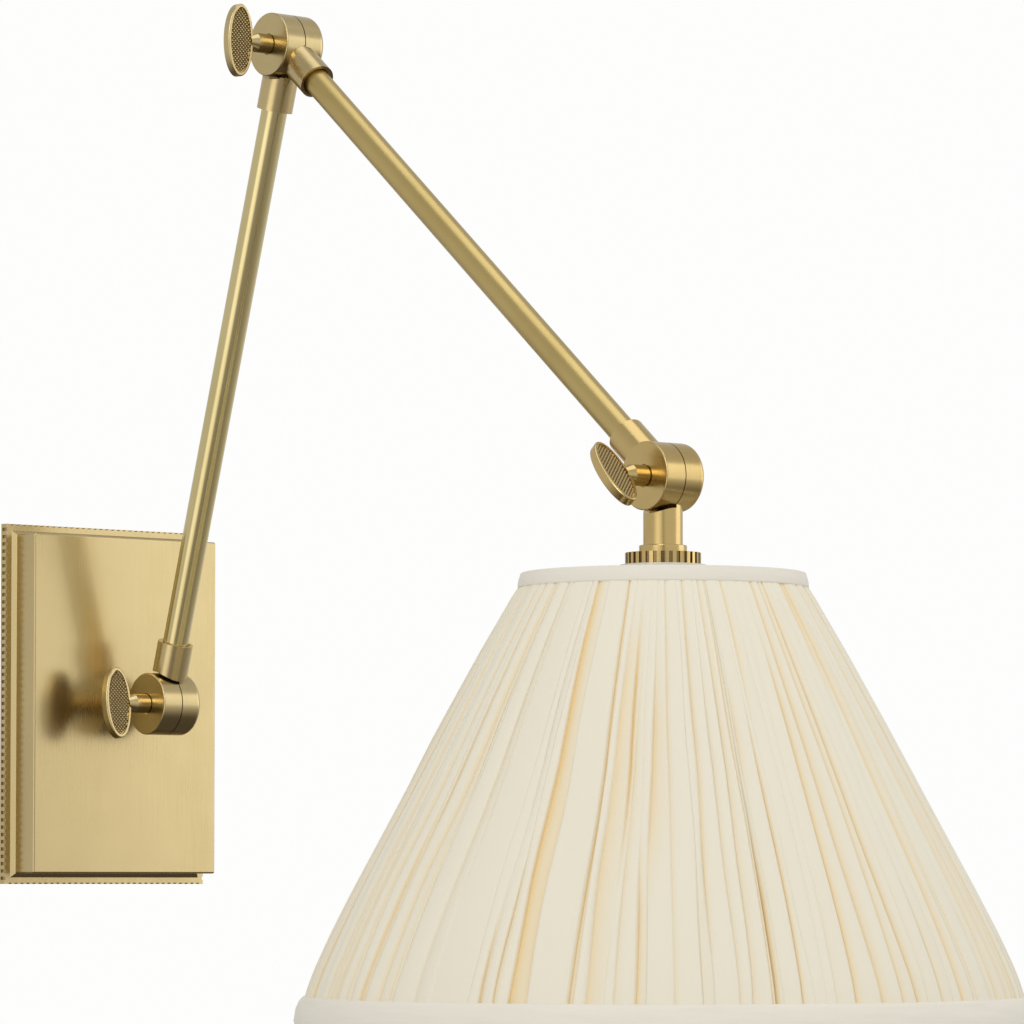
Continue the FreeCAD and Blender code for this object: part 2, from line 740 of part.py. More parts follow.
def oval(body, name, tall, wide, offset):
    """An ellipse beside the axis, tall along Z and wide along X, offset along Y."""
    sketch = new_sketch(body, name, "XZ_Plane", offset)
    centre = FreeCAD.Vector(value("paddle_x"), 0, 0)
    top = FreeCAD.Vector(centre.x, value(tall), 0)
    side = FreeCAD.Vector(centre.x + value(wide), 0, 0)
    sketch.addGeometry(Part.Ellipse(top, side, centre))
    sketch.exposeInternalGeometry(0)
    fix_point(sketch, 0, 3, "paddle_x", "0")
    for line, formula, kind in ((1, "2 * (%s)" % tall, "DistanceY"), (2, "2 * (%s)" % wide, "DistanceX")):
        first, last = sketch.Geometry[line].StartPoint, sketch.Geometry[line].EndPoint
        forward = (last.y - first.y if kind == "DistanceY" else last.x - first.x) > 0
        ends = (1, 2) if forward else (2, 1)
        index = sketch.addConstraint(Sketcher.Constraint(kind, line, ends[0], line, ends[1], value(formula)))
        sketch.setExpression("Constraints[%d]" % index, bound(formula))
    sketch.addConstraint(Sketcher.Constraint("Vertical", 1))
    return sketch


def thumb_screws():
    at_wall_pivot(thumb_screw("WallScrew", "wall_thumb_screw"), "wall_paddle_turn")
    at_elbow(thumb_screw("ElbowScrew", "elbow_thumb_screw"), "elbow_paddle_turn")
    at_shade_pivot(thumb_screw("ShadeScrew", "shade_thumb_screw"), "shade_paddle_turn")


# ---------------------------------------------------------------- neck fittings, lamp holder and bulb
def neck_collar():
    body = new_body("Collar")
    pad(body, disc(body, "collar_rim", "XY_Plane", "collar_radius", offset="collar_top"), "collar_height",
        backwards=True)
    pocket(body, disc(body, "collar_hole", "XY_Plane", "nipple_radius + nipple_fit", offset="collar_top"),
           "collar_height + 1")
    rim = circle_at(size("collar_radius"), "z", size("collar_top"))
    round_edges(body, "collar_soft", rim, "collar_round")
    return keep(at_shade_axis(body), "neck_collar")


def fluted_ring():
    """The coin-edged ring nut under the collar."""
    body = new_body("FlutedRing")
    rim = disc(body, "ring_rim", "XY_Plane", "ring_radius", offset="ring_top")
    pad(body, rim, "ring_height", backwards=True)
    pocket(body, disc(body, "ring_hole", "XY_Plane", "nipple_radius + nipple_fit", offset="ring_top"),
           "ring_height + 1")
    width = "ring_flute_share * 2 * pi * ring_radius / ring_flutes"
    notch = rectangle(body, "ring_notch", "XY_Plane", "ring_flute_depth * 2", width, "ring_top", "ring_radius")
    flute = pocket(body, notch, "ring_height + 1")
    round_pattern(body, "ring_flutes_all", flute, "ring_flutes")
    return keep(at_shade_axis(body), "fluted_ring")


def neck_nipple():
    """The hollow thread that hangs ring, shade and lamp holder from the neck."""
    length = "nipple_grip + collar_height + ring_height + hub_height + cap_wall + nipple_past_cap"
    nipple = threaded_nipple("NeckNipple", "neck_nipple", "nipple_radius", "nipple_bore", length)
    place(nipple, "seam_x", "shade_y", "shade_z - neck_reach + nipple_grip - (%s)" % length)


def lamp_holder():
    """Cap, outer shell, insulating core, screw shell and centre contact of a medium screw lamp holder."""
    cap = new_body("HolderCap")
    inside = "cap_radius - cap_wall"
    hole = "nipple_radius + nipple_fit"
    turned(cap, "cap_profile", [
        (hole, "cap_top"), ("cap_neck_radius", "cap_top"), ("cap_radius", "cap_top - cap_crown"),
        ("cap_radius", "cap_top - cap_height"), (inside, "cap_top - cap_height"),
        (inside, "cap_top - cap_crown - cap_slope_wall"),
        ("cap_neck_radius - cap_slope_wall", "cap_top - cap_wall"), (hole, "cap_top - cap_wall")])
    keep(at_shade_axis(cap), "holder_cap")
    shell = new_body("HolderShell")
    outer = "cap_radius - cap_wall - shell_fit"
    turned(shell, "shell_profile", [
        (outer, "core_top"), (outer, "core_top - shell_height"),
        (outer + " - shell_wall", "core_top - shell_height"), (outer + " - shell_wall", "core_top")])
    keep(at_shade_axis(shell), "holder_shell")
    core = new_body("HolderCore")
    edge = outer + " - shell_wall - shell_fit"
    turned(core, "core_profile", [
        ("core_bore", "core_top"), (edge, "core_top"), (edge, "core_top - core_height"),
        ("core_bore", "core_top - core_height")])
    keep(at_shade_axis(core), "holder_core")
    screw = new_body("ScrewShell")
    turned(screw, "screw_shell_profile", [
        ("screw_shell_radius", "contact_top"), ("screw_shell_radius", "contact_top - screw_shell_height"),
        ("screw_shell_radius - screw_shell_wall", "contact_top - screw_shell_height"),
        ("screw_shell_radius - screw_shell_wall", "contact_top - screw_shell_wall"),
        ("screw_shell_bore", "contact_top - screw_shell_wall"), ("screw_shell_bore", "contact_top")])
    keep(at_shade_axis(screw), "holder_screw_shell")
    contact = new_body("CentreContact")
    turned(contact, "contact_profile", [
        ("0", "contact_top"), ("contact_radius", "contact_top"),
        ("contact_radius", "contact_top - contact_rim"),
        ("contact_radius / 2", "contact_top - contact_height"), ("0", "contact_top - contact_height")])
    keep(at_shade_axis(contact), "holder_centre_contact")


def bulb():
    """A frosted bulb: a thin glass bowl that runs smoothly into its neck, and a screw cap with a contact."""
    cap = new_body("BulbCap")
    turned(cap, "bulb_cap_profile", [
        ("0", "bulb_top + bulb_tip_height"), ("bulb_tip_radius", "bulb_top + bulb_tip_height"),
        ("bulb_cap_radius - bulb_cap_shoulder", "bulb_top"),
        ("bulb_cap_radius", "bulb_top - bulb_cap_shoulder"),
        ("bulb_cap_radius", "bulb_neck"), ("0", "bulb_neck")])
    keep(at_shade_axis(cap), "bulb_cap")

    def bowl(name, shrink, top_drop):
        radius, neck = "bulb_radius - %s" % shrink, "bulb_cap_radius - %s" % shrink
        ball = doc.addObject("Part::Sphere", name + "Ball")
        ball.setExpression("Radius", bound(radius))
        ball.setExpression("Placement.Base.z", bound("bulb_neck - bulb_centre_drop"))
        slope = "atan2(bulb_centre_drop; %s)" % neck
        rise = "(%s - acos((%s) / hypot(bulb_centre_drop; %s)))" % (slope, radius, neck)
        touch = "(%s) * sin(%s)" % (radius, rise)
        cone = doc.addObject("Part::Cone", name + "Neck")
        cone.setExpression("Radius1", bound("(%s) * cos(%s)" % (radius, rise)))
        cone.setExpression("Radius2", bound(neck))
        cone.setExpression("Height", bound("bulb_centre_drop - %s + %s" % (touch, top_drop)))
        cone.setExpression("Placement.Base.z", bound("bulb_neck - bulb_centre_drop + %s" % touch))
        return fuse(name, [ball, cone])
    glass = cut("BulbGlass", bowl("BulbOuter", "0", "0"), bowl("BulbInner", "bulb_glass_wall", "-1"))
    keep(at_shade_axis(glass), "bulb_glass")


# ---------------------------------------------------------------- shade
def shade_profile(inset, wall, top, end):
    """The cover's outline at an inset from its outer face, from the formula top down to end."""
    knee = "cover_top - cover_knee_depth"
    top_radius = "cover_top_radius + (cover_top - (%s)) * cover_slope" % top
    outside = [(top_radius, top), ("cover_knee_radius", knee), ("cover_bottom_radius", end)]
    outer = [("%s - %s" % (radius, inset), height) for radius, height in outside]
    inner = [("%s - %s - %s" % (radius, inset, wall), height) for radius, height in outside]
    return outer + inner[::-1]


def shade_cover():
    body = new_body("ShadeCover")
    turned(body, "cover_profile", shade_profile("0", "cover_wall", "cover_top", "cover_end"))
    return keep(at_shade_axis(body), "shade_cover")


def shade_lining():
    """The plain inner cone, between the top and bottom wires."""
    body = new_body("ShadeLining")
    top, end = "cover_top - lining_end", "cover_end + lining_end"
    rise = "(frame_end_radius - frame_top_radius) / (frame_top - frame_end)"
    inset = "(lining_inset - rib_inset)"
    top_radius = "frame_top_radius + (frame_top - (%s)) * %s - %s" % (top, rise, inset)
    end_radius = "frame_top_radius + (frame_top - (%s)) * %s - %s" % (end, rise, inset)
    turned(body, "lining_profile", [
        (top_radius, top), (end_radius, end), (end_radius + " - lining_wall", end),
        (top_radius + " - lining_wall", top)])
    return keep(at_shade_axis(body), "shade_lining")


def shade_bands():
    """The folded tape round the top and the rolled tape round the hem."""
    body = new_body("TopBand")
    low = "-shade_drop - top_band_height"
    at_low = "cover_top_radius + (cover_top - (%s)) * cover_slope + band_gap" % low
    at_top = "cover_top_radius + band_gap"
    under = "cover_top + band_gap"
    turned(body, "top_band_profile", [
        (at_low + " + band_wall", low), (at_top + " + band_wall", "-shade_drop"),
        ("cover_top_radius - top_band_lip", "-shade_drop"), ("cover_top_radius - top_band_lip", under),
        (at_top, under), (at_low, low)])
    keep(at_shade_axis(body), "top_band")
    hem = new_body("BottomBand")
    end = "-shade_drop - shade_height"
    top = "%s + bottom_band_height" % end
    inner = "cover_bottom_radius + band_gap"
    outer = inner + " + bottom_band_wall"
    turned(hem, "bottom_band_profile", [
        (inner, end + " + roll_edge"), (inner + " + roll_edge", end), (outer + " - roll_edge", end),
        (outer, end + " + roll_rise"), (outer, top + " - roll_rise"), (outer + " - roll_edge", top),
        (inner + " + roll_edge", top), (inner, top + " - roll_edge")])
    keep(at_shade_axis(hem), "bottom_band")


def wire_ring(name, radius, height):
    ring = doc.addObject("Part::Torus", name)
    ring.setExpression("Radius1", bound(radius))
    ring.setExpression("Radius2", bound("wire_frame_radius"))
    ring.setExpression("Placement.Base.z", bound(height))
    return ring


def straight_wire(name, radius, start, end, turn):
    """A straight wire from one (radius, height) to another, swung round the shade's axis by turn degrees."""
    spin = FreeCAD.Rotation(FreeCAD.Vector(0, 0, 1), turn)
    first = spin.multVec(FreeCAD.Vector(value(start[0]), 0, value(start[1])))
    last = spin.multVec(FreeCAD.Vector(value(end[0]), 0, value(end[1])))
    wire = doc.addObject("Part::Feature", name)
    wire.Shape = Part.makeCylinder(value(radius), (last - first).Length, first, last - first)
    return wire


def shade_frame():
    """The spider that carries the shade, with its top wire, and the ribs with the bottom wire."""
    arm_root = ("hub_radius - spider_arm_inset", "hub_top - hub_height - spider_arm_drop")
    arm_ends = (arm_root, ("frame_top_radius", "frame_top"))
    hub = cylinder("SpiderHub", "hub_radius", "hub_height", z="hub_top - hub_height")
    below = "hub_top - hub_height - 1"
    hole = cylinder("SpiderHole", "nipple_radius + nipple_fit", "hub_height + 2", z=below)
    shapes = [cut("SpiderPlate", hub, hole), wire_ring("SpiderRing", "frame_top_radius", "frame_top")]
    arms = int(size("spoke_count"))
    for index in range(arms):
        turn = 90 + 360 * index / arms
        name = "SpiderArm%d" % index
        shapes.append(straight_wire(name, "wire_frame_radius", arm_ends[0], arm_ends[1], turn))
    keep(at_shade_axis(fuse("Spider", shapes)), "shade_spider")
    ribs = [wire_ring("HemRing", "frame_end_radius", "frame_end")]
    rib_ends = (("frame_top_radius", "frame_top"), ("frame_end_radius", "frame_end"))
    count = int(size("rib_count"))
    for index in range(count):
        turn = (0.5 + index) * 360 / count
        ribs.append(straight_wire("Rib%d" % index, "rib_radius", rib_ends[0], rib_ends[1], turn))
    keep(at_shade_axis(fuse("Ribs", ribs)), "shade_ribs")


# ---------------------------------------------------------------- the whole fixture
base_plate()
cover_box()
mounting_strap()
side_screws()
ground_screw()
wall_fixings()
fixed_knuckles()
seam_washers()
arms()
thumb_screws()
neck_collar()
fluted_ring()
neck_nipple()
lamp_holder()
bulb()
shade_frame()
shade_lining()
shade_cover()
shade_bands()
doc.recompute()

failed = [item.Label for item in doc.Objects if "Invalid" in item.State or "Error" in item.State]
if failed:
    raise SystemExit("failed objects: %s" % ", ".join(failed))
for piece in PIECES:
    if piece.Shape.isNull() or not piece.Shape.isValid() or not piece.Shape.Solids:
        raise SystemExit("bad shape: %s" % piece.Label)

os.makedirs("parts", exist_ok=True)
for piece in PIECES:
    piece.Shape.exportStep("parts/%s.step" % piece.Label)
    box = piece.Shape.BoundBox
    print("%-24s solids %d volume %10.1f  x %.1f..%.1f  y %.1f..%.1f  z %.1f..%.1f" % (
        piece.Label, len(piece.Shape.Solids), piece.Shape.Volume,
        box.XMin, box.XMax, box.YMin, box.YMax, box.ZMin, box.ZMax))
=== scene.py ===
"""Looks of the swing arm wall sconce: satin brass plate, arms and knuckles, and a gathered cloth shade.

Everything is in metres in the part's own frame: X to the right seen from the room, -Y into the room, +Z up.
"""

import json
import math

import bpy
import numpy as np
from mathutils import Matrix, Vector


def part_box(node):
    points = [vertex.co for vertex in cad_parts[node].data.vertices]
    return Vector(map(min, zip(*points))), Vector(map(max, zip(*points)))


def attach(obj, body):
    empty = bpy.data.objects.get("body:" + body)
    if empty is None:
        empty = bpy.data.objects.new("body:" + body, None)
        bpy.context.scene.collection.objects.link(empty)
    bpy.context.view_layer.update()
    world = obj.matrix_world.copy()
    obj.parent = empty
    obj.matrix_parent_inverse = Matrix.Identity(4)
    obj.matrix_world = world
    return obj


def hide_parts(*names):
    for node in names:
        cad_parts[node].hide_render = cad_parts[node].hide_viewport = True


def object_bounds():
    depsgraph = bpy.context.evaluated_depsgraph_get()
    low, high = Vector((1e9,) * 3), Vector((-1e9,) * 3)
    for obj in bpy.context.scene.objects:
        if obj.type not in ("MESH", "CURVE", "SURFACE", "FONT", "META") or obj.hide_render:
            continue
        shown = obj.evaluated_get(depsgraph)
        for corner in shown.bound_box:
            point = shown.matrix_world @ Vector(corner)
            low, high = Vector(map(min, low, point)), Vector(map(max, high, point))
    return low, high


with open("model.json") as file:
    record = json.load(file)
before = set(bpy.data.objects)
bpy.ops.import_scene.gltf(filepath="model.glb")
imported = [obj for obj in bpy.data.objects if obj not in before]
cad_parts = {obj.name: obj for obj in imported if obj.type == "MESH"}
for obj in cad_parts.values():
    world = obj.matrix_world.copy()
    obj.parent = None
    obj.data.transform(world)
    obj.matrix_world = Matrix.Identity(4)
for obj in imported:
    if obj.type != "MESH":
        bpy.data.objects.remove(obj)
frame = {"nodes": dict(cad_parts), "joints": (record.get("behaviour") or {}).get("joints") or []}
cad_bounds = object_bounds()
scene = bpy.context.scene
MM = 0.001
TAU = math.tau

# ---------------------------------------------------------- camera, in the room and to the left of the arm
EYE = Vector((-1.502, -2.111, -0.0884))
EYE_TURN = math.radians(40)     # from straight at the wall towards +X
EYE_RISE = math.radians(3.0)
EYE_LENS = 181.0                # mm, with EYE_SENSOR in mm too
EYE_SENSOR = 36
EYE_SHIFT = 0.0986

# ---------------------------------------------------------------- thumb screws
PADDLE_TURNS = {"wall": -6.6, "elbow": 1, "shade": -40}     # degrees that each flat paddle is turned about X
KNURL_PITCH = 0.95 * MM         # between the small pyramids of the knurling
KNURL_CREST = 0.74 * MM         # their height
KNURL_FLOOR = 1.43 * MM         # from the paddle's middle to the floor of its recess
KNURL_HALF_WIDE = 6 * MM
KNURL_HALF_TALL = 16 * MM
KNURL_RIM = 0.985               # no pyramid stands further out than this share of the recess

# ---------------------------------------------------------------- gathered cover
FOLDS = 140
COVER_ROWS = 62
# shares of the cover's height from the top, and of its hem radius: a cone that bends in softly at the hem
OUTLINE_DEPTHS = (0, 0.06, 0.167, 0.33, 0.52, 0.707, 0.8, 0.896, 0.95, 1)
OUTLINE_RADII = (0.386, 0.425, 0.501, 0.611, 0.7355, 0.859, 0.917, 0.9705, 0.992, 1.003)
# how its corners are rounded: the samples down it, and how many are blended at each
OUTLINE_SAMPLES = 481
OUTLINE_BLUR = 43
# how far it runs on past the top and the hem before that, and how steeply at each
OUTLINE_MARGIN = 0.1
OUTLINE_TOP_SLOPE = 0.64
OUTLINE_HEM_SLOPE = 0.25
TOP_TUCK = 0.7 * MM             # how far the tape presses the cloth in
# where the points across a fold are, closest at its creases
FOLD_STEPS = (0, 0.03, 0.08, 0.17, 0.32, 0.5, 0.68, 0.83, 0.92, 0.97)
FOLD_SPREAD = 0.48              # how uneven the folds' widths are
STRONG_CREASES = 0.62           # share of the creases that are strong
WHOLE_CREASES = 0.46            # share that start at the top
FADING_CREASES = 0.2            # share that fade out on the way down
FULL_FOLDS = 0.12               # share of the folds that are broad and soft

# ---------------------------------------------------------------- tapes and lining
TOP_LEAN = math.radians(11)     # from upright
TOP_SHOULDER = 0.8 * MM         # radius of the fold over the top ring
TOP_TURN_IN = 9 * MM            # how far the tape reaches inside
HEM_LEAN = math.radians(17)
HEM_BELLY = 1.5 * MM            # how far the rolled tape bulges
HEM_INSET = 0.8 * MM            # how far in the bulge starts
HEM_WIDTH = 3.5 * MM            # across its foot
RIBS = 6
SCALLOP = 0.9 * MM              # how far the lining draws in between the ribs
LINING_GAP = 0.4 * MM           # behind the outline

# ---------------------------------------------------------------- studio
WORLD_LEVEL = 0.93
LAMP_LEVEL = 0.56
# place from the middle of the part, size, power and colour of each lamp
LAMPS = {"key": ((-1.9, -1.5, 1.3), (1.2, 1.6), 34, (1.0, 0.985, 0.96)),
         "fill": ((2.0, -1.3, 0.5), (1.6, 1.6), 14, (1, 1, 1)),
         "top": ((0.1, -0.3, 1.7), (1.4, 1.4), 12, (1, 1, 1))}
FLOOR_DROP = 0.6                # below the part, and clear of the shade when the arm swings right down
FLOOR_HALF = 6.0

# ---------------------------------------------------------------- finishes
BRASS = (0.595, 0.475, 0.245)
BRASS_DEEP = (0.46, 0.35, 0.15)
# painted shade in the valleys of the knurling, the flutes and the coin edge
BRASS_PAINTED_SHADE = (0.16, 0.09, 0.03)
# a warmer copy of the same brass, given to the shade joint, its neck collar and the fluted ring
GOLD = (0.60, 0.445, 0.19)
GOLD_DEEP = (0.46, 0.32, 0.11)
# tilt of each arm from the vertical, the two shades of its brass and its roughness; both arms are one brass,
# painted paler on the upright lower arm and darker on the upper arm that slopes down, as painted light and
# shade
ARMS = {"lower": (17.25, (0.66, 0.56, 0.29), (0.55, 0.45, 0.19), 0.17),
        "upper": (129.5, (0.56, 0.43, 0.175), (0.45, 0.33, 0.11), 0.33)}
IVORY = (0.80, 0.76, 0.64)
# painted light: the golden tint that light bounced between the folds gives the cloth deep in its creases
IVORY_BOUNCE_GOLD = (0.82, 0.595, 0.25)
TAPE = (0.79, 0.755, 0.67)


# ================================================================ node maths
class Value:
    """A node's output used as a number: an expression on it adds the Math nodes that work it out."""

    def __init__(self, tree, socket):
        self.tree = tree
        self.socket = socket

    def math(self, operation, *values, clamp=False):
        node = self.tree.nodes.new("ShaderNodeMath")
        node.operation = operation
        node.use_clamp = clamp
        for place, value in enumerate(values):
            if isinstance(value, Value):
                self.tree.links.new(value.socket, node.inputs[place])
            else:
                node.inputs[place].default_value = value
        return Value(self.tree, node.outputs[0])

    def __add__(self, other):
        return self.math("ADD", self, other)

    def __radd__(self, other):
        return self.math("ADD", other, self)

    def __sub__(self, other):
        return self.math("SUBTRACT", self, other)

    def __rsub__(self, other):
        return self.math("SUBTRACT", other, self)

    def __mul__(self, other):
        return self.math("MULTIPLY", self, other)

    def __rmul__(self, other):
        return self.math("MULTIPLY", other, self)

    def __truediv__(self, other):
        return self.math("DIVIDE", self, other)

    def __rtruediv__(self, other):
        return self.math("DIVIDE", other, self)

    def least(self, other):
        return self.math("MINIMUM", self, other)

    def unsigned(self):
        return self.math("ABSOLUTE", self)

    def sine(self):
        return self.math("SINE", self)

    def root(self):
        return self.math("SQRT", self)

    def clipped(self):
        return self.math("ADD", self, 0.0, clamp=True)


class Finish:
    """A material being made: one shader, and one method that makes every other node."""

    def __init__(self, name, world=False, **constants):
        if world:
            self.data = bpy.data.worlds.new(name)
        else:
            self.data = bpy.data.materials.new(name)
        self.data.use_nodes = True
        self.tree = self.data.node_tree
        self.shader = self.tree.nodes["Background" if world else "Principled BSDF"]
        for socket, value in constants.items():
            self.shader.inputs[socket.replace("_", " ")].default_value = value

    def node(self, kind, settings=None, inputs=None, output=0):
        """Adds a node: its settings first, then the values or links of its sockets; returns one output."""
        made = self.tree.nodes.new("ShaderNode" + kind)
        for name, value in (settings or {}).items():
            if name == "stops":
                ramp = made.color_ramp.elements
                while len(ramp) < len(value):
                    ramp.new(0.5)
                for stop, (place, shade) in zip(ramp, value):
                    stop.position = place
                    stop.color = (*shade, 1)
            else:
                setattr(made, name, value)
        for name, value in (inputs or {}).items():
            self.feed(made.inputs[name], value)
        return Value(self.tree, made.outputs[output])

    def feed(self, socket, value):
        if isinstance(value, Value):
            self.tree.links.new(value.socket, socket)
        elif socket.type == "RGBA" and len(value) == 3:
            socket.default_value = (*value, 1)
        else:
            socket.default_value = value

    def mix(self, factor, first, second):
        """A colour between two others."""
        return self.node("Mix", {"data_type": "RGBA"}, {0: factor, 6: first, 7: second}, 2)

    def noise(self, vector, scale, detail=2.0, rough=0.5):
        inputs = {"Vector": vector, "Scale": scale, "Detail": detail, "Roughness": rough}
        return self.node("TexNoise", inputs=inputs)

    def place(self):
        """The point on the part at rest."""
        return self.node("TexCoord", output="Object")

    def stretch(self, vector, factors):
        return self.node("VectorMath", {"operation": "MULTIPLY"}, {0: vector, 1: factors})

    def turn(self, vector, degrees):
        """Turns the point about X."""
        settings = {"rotation_type": "X_AXIS"}
        return self.node("VectorRotate", settings, {"Vector": vector, "Angle": math.radians(degrees)})

    def join(self, x, y, z):
        return self.node("CombineXYZ", inputs={"X": x, "Y": y, "Z": z})

    def split(self, vector):
        return [self.node("SeparateXYZ", inputs={"Vector": vector}, output=part) for part in "XYZ"]

    def attribute(self, name):
        return self.node("Attribute", {"attribute_name": name}, output="Fac")

    def uv(self):
        """Across and along the cloth, in metres."""
        return self.split(self.node("UVMap", {"uv_map": "cloth"}))

    def bump(self, height, strength, distance=MM):
        inputs = {"Height": height, "Strength": strength, "Distance": distance}
        self.feed(self.shader.inputs["Normal"], self.node("Bump", inputs=inputs))

    def colour(self, value):
        self.feed(self.shader.inputs["Base Color"], value)

    def roughness(self, value):
        self.feed(self.shader.inputs["Roughness"], value)


# ================================================================ brass
def brass(name, lines, base=BRASS, deep=BRASS_DEEP, rough=0.27, grain=0.10, patina=0.55, dark=None):
    """Satin brass: lines gives the fine tool marks, clouds the lacquered patina, and dark the painted shade
    in the sunk places.
    """
    finish = Finish(name, Metallic=1.0)
    place = finish.place()
    marks = lines(finish, place)
    clouds = finish.noise(place, 14, 3, 0.6)
    spots = finish.noise(place, 160, 2, 0.5)
    age = ((clouds - 0.42) * 2.2 + (spots - 0.5) * 0.35 + (marks - 0.5) * 0.5).clipped()
    tone = finish.mix(age * patina, base, deep)
    # painted shade: the sunk places that dark gives are darkened
    if dark is not None:
        tone = finish.mix(dark(finish), tone, BRASS_PAINTED_SHADE)
    finish.colour(tone)
    finish.roughness((rough + (marks - 0.5) * 0.16 + (clouds - 0.5) * 0.12).clipped())
    finish.bump(marks, grain, 0.2 * MM)
    return finish.data


def upright_lines(finish, place):
    """Long brushed strokes that run up the plate."""
    fine = finish.noise(finish.stretch(place, (2600, 2600, 30)), 1, 3, 0.6)
    broad = finish.noise(finish.stretch(place, (420, 420, 9)), 1, 2, 0.5)
    return fine * 0.85 + broad * 0.15


def drawn_lines(tilt):
    """Marks along a tube that is tilted from the vertical by tilt degrees."""
    def lines(finish, place):
        along = finish.turn(place, -tilt)
        fine = finish.noise(finish.stretch(along, (1500, 1500, 12)), 1, 3, 0.6)
        scuff = finish.noise(finish.stretch(along, (260, 260, 60)), 1, 3, 0.55)
        return fine * 0.6 + scuff * 0.4
    return lines


def turned_lines(pivot):
    """Rings left by the lathe round an axis along X through the pivot."""
    def lines(finish, place):
        x, y, z = finish.split(place)
        out_y = y - pivot.y
        out_z = z - pivot.z
        radius = (out_y * out_y + out_z * out_z).root()
        rings = finish.noise(finish.join(x * 2600, radius * 2600, out_y * 25), 1, 2, 0.6)
        broad = finish.noise(finish.join(x * 700, radius * 700, out_z * 12), 1, 2, 0.5)
        return rings * 0.6 + broad * 0.4
    return lines


def round_lines(centre):
    """Rings left by the lathe round an upright axis through centre."""
    def lines(finish, place):
        x, y, z = finish.split(place)
        out_x = x - centre.x
        out_y = y - centre.y
        radius = (out_x * out_x + out_y * out_y).root()
        return finish.noise(finish.join(z * 2600, radius * 2600, out_x * 20), 1, 3, 0.6)
    return lines


def flute_shadow(centre, radius, depth):
    """1 in the valleys of a fluted rim round an upright axis, 0 on its crests."""
    def dark(finish):
        x, y, _ = finish.split(finish.place())
        out_x = x - centre.x
        out_y = y - centre.y
        reach = (out_x * out_x + out_y * out_y).root()
        return ((radius - reach) / depth).clipped() * 0.8
    return dark


def coin_shadow(low, high, depth):
    """1 in the notches of the plate's coin edge, 0 on the beads."""
    beads = low.y * 0.66      # the front face is ahead of them
    blend = 0.3 * MM

    def dark(finish):
        x, y, z = finish.split(finish.place())
        side = (high.x - x.unsigned()) / depth
        end = (high.z - z.unsigned()) / depth
        behind = ((y - beads) / blend).clipped()
        return side.least(end).clipped() * behind * 0.85
    return dark


def knurl_shadow(finish):
    """Nearly 1 in the valleys of the knurling, 0 on its crests."""
    return (1.12 - finish.attribute("crest") * 1.7).clipped() * 0.92


# ================================================================ other hard finishes
def zinc():
    finish = Finish("zinc_plate", Metallic=1.0)
    place = finish.place()
    cells = finish.node("TexVoronoi", {"feature": "F1"}, {"Vector": place, "Scale": 420})
    clouds = finish.noise(place, 60, 3)
    finish.colour(finish.mix((cells * 0.5 + clouds * 0.5).clipped(), (0.62, 0.64, 0.66), (0.46, 0.48, 0.52)))
    finish.roughness(0.28 + clouds * 0.22)
    finish.bump(cells, 0.06, 0.2 * MM)
    return finish.data


def green_head():
    finish = Finish("ground_green", Metallic=0.6)
    place = finish.place()
    wear = finish.noise(place, 500, 3)
    finish.colour(finish.mix((wear * 2 - 0.8).clipped(), (0.03, 0.22, 0.07), (0.08, 0.34, 0.14)))
    finish.roughness(0.3 + wear * 0.2)
    finish.bump(wear, 0.1, 0.2 * MM)
    return finish.data


def fibre():
    finish = Finish("fibre_washer")
    place = finish.place()
    threads = finish.noise(finish.stretch(place, (900, 900, 300)), 1, 4)
    finish.colour(finish.mix(threads, (0.05, 0.035, 0.025), (0.16, 0.11, 0.07)))
    finish.roughness(0.75 + threads * 0.2)
    finish.bump(threads, 0.3, 0.2 * MM)
    return finish.data


def wire_jacket():
    finish = Finish("wire_jacket", Coat_Roughness=0.3)
    place = finish.place()
    grain = finish.noise(place, 900, 2)
    finish.colour(finish.mix(grain, (0.70, 0.66, 0.55), (0.80, 0.77, 0.68)))
    finish.roughness(0.42 + grain * 0.15)
    finish.bump(grain, 0.08, 0.1 * MM)
    return finish.data


def porcelain():
    finish = Finish("porcelain_core", Coat_Weight=0.6, Coat_Roughness=0.08)
    place = finish.place()
    specks = finish.noise(place, 700, 3)
    finish.colour(finish.mix((specks * 1.6 - 0.4).clipped(), (0.82, 0.80, 0.75), (0.72, 0.69, 0.63)))
    finish.roughness(0.25 + specks * 0.12)
    finish.bump(specks, 0.05, 0.1 * MM)
    return finish.data


def bulb_cap():
    finish = Finish("bulb_cap_metal", Metallic=1.0)
    place = finish.place()
    rub = finish.noise(finish.stretch(place, (300, 300, 1500)), 1, 3)
    finish.colour(finish.mix(rub, (0.72, 0.72, 0.70), (0.52, 0.51, 0.48)))
    finish.roughness(0.24 + rub * 0.2)
    finish.bump(rub, 0.1, 0.1 * MM)
    return finish.data


def frosted_glass():
    finish = Finish("frosted_glass", Coat_Weight=0.35, Coat_Roughness=0.22, Subsurface_Weight=0.35)
    finish.shader.inputs["Subsurface Radius"].default_value = (0.02, 0.018, 0.015)
    place = finish.place()
    frost = finish.noise(place, 1600, 2)
    haze = finish.noise(place, 30, 2)
    finish.colour(finish.mix(haze, (0.90, 0.89, 0.85), (0.84, 0.83, 0.79)))
    finish.roughness(0.45 + frost * 0.15)
    finish.bump(frost, 0.05, 0.05 * MM)
    return finish.data


def enamel_wire():
    finish = Finish("enamel_wire", Coat_Weight=0.3, Coat_Roughness=0.2)
    place = finish.place()
    runs = finish.noise(place, 260, 3)
    finish.colour(finish.mix(runs, (0.80, 0.77, 0.68), (0.70, 0.66, 0.56)))
    finish.roughness(0.38 + runs * 0.2)
    finish.bump(runs, 0.15, 0.2 * MM)
    return finish.data


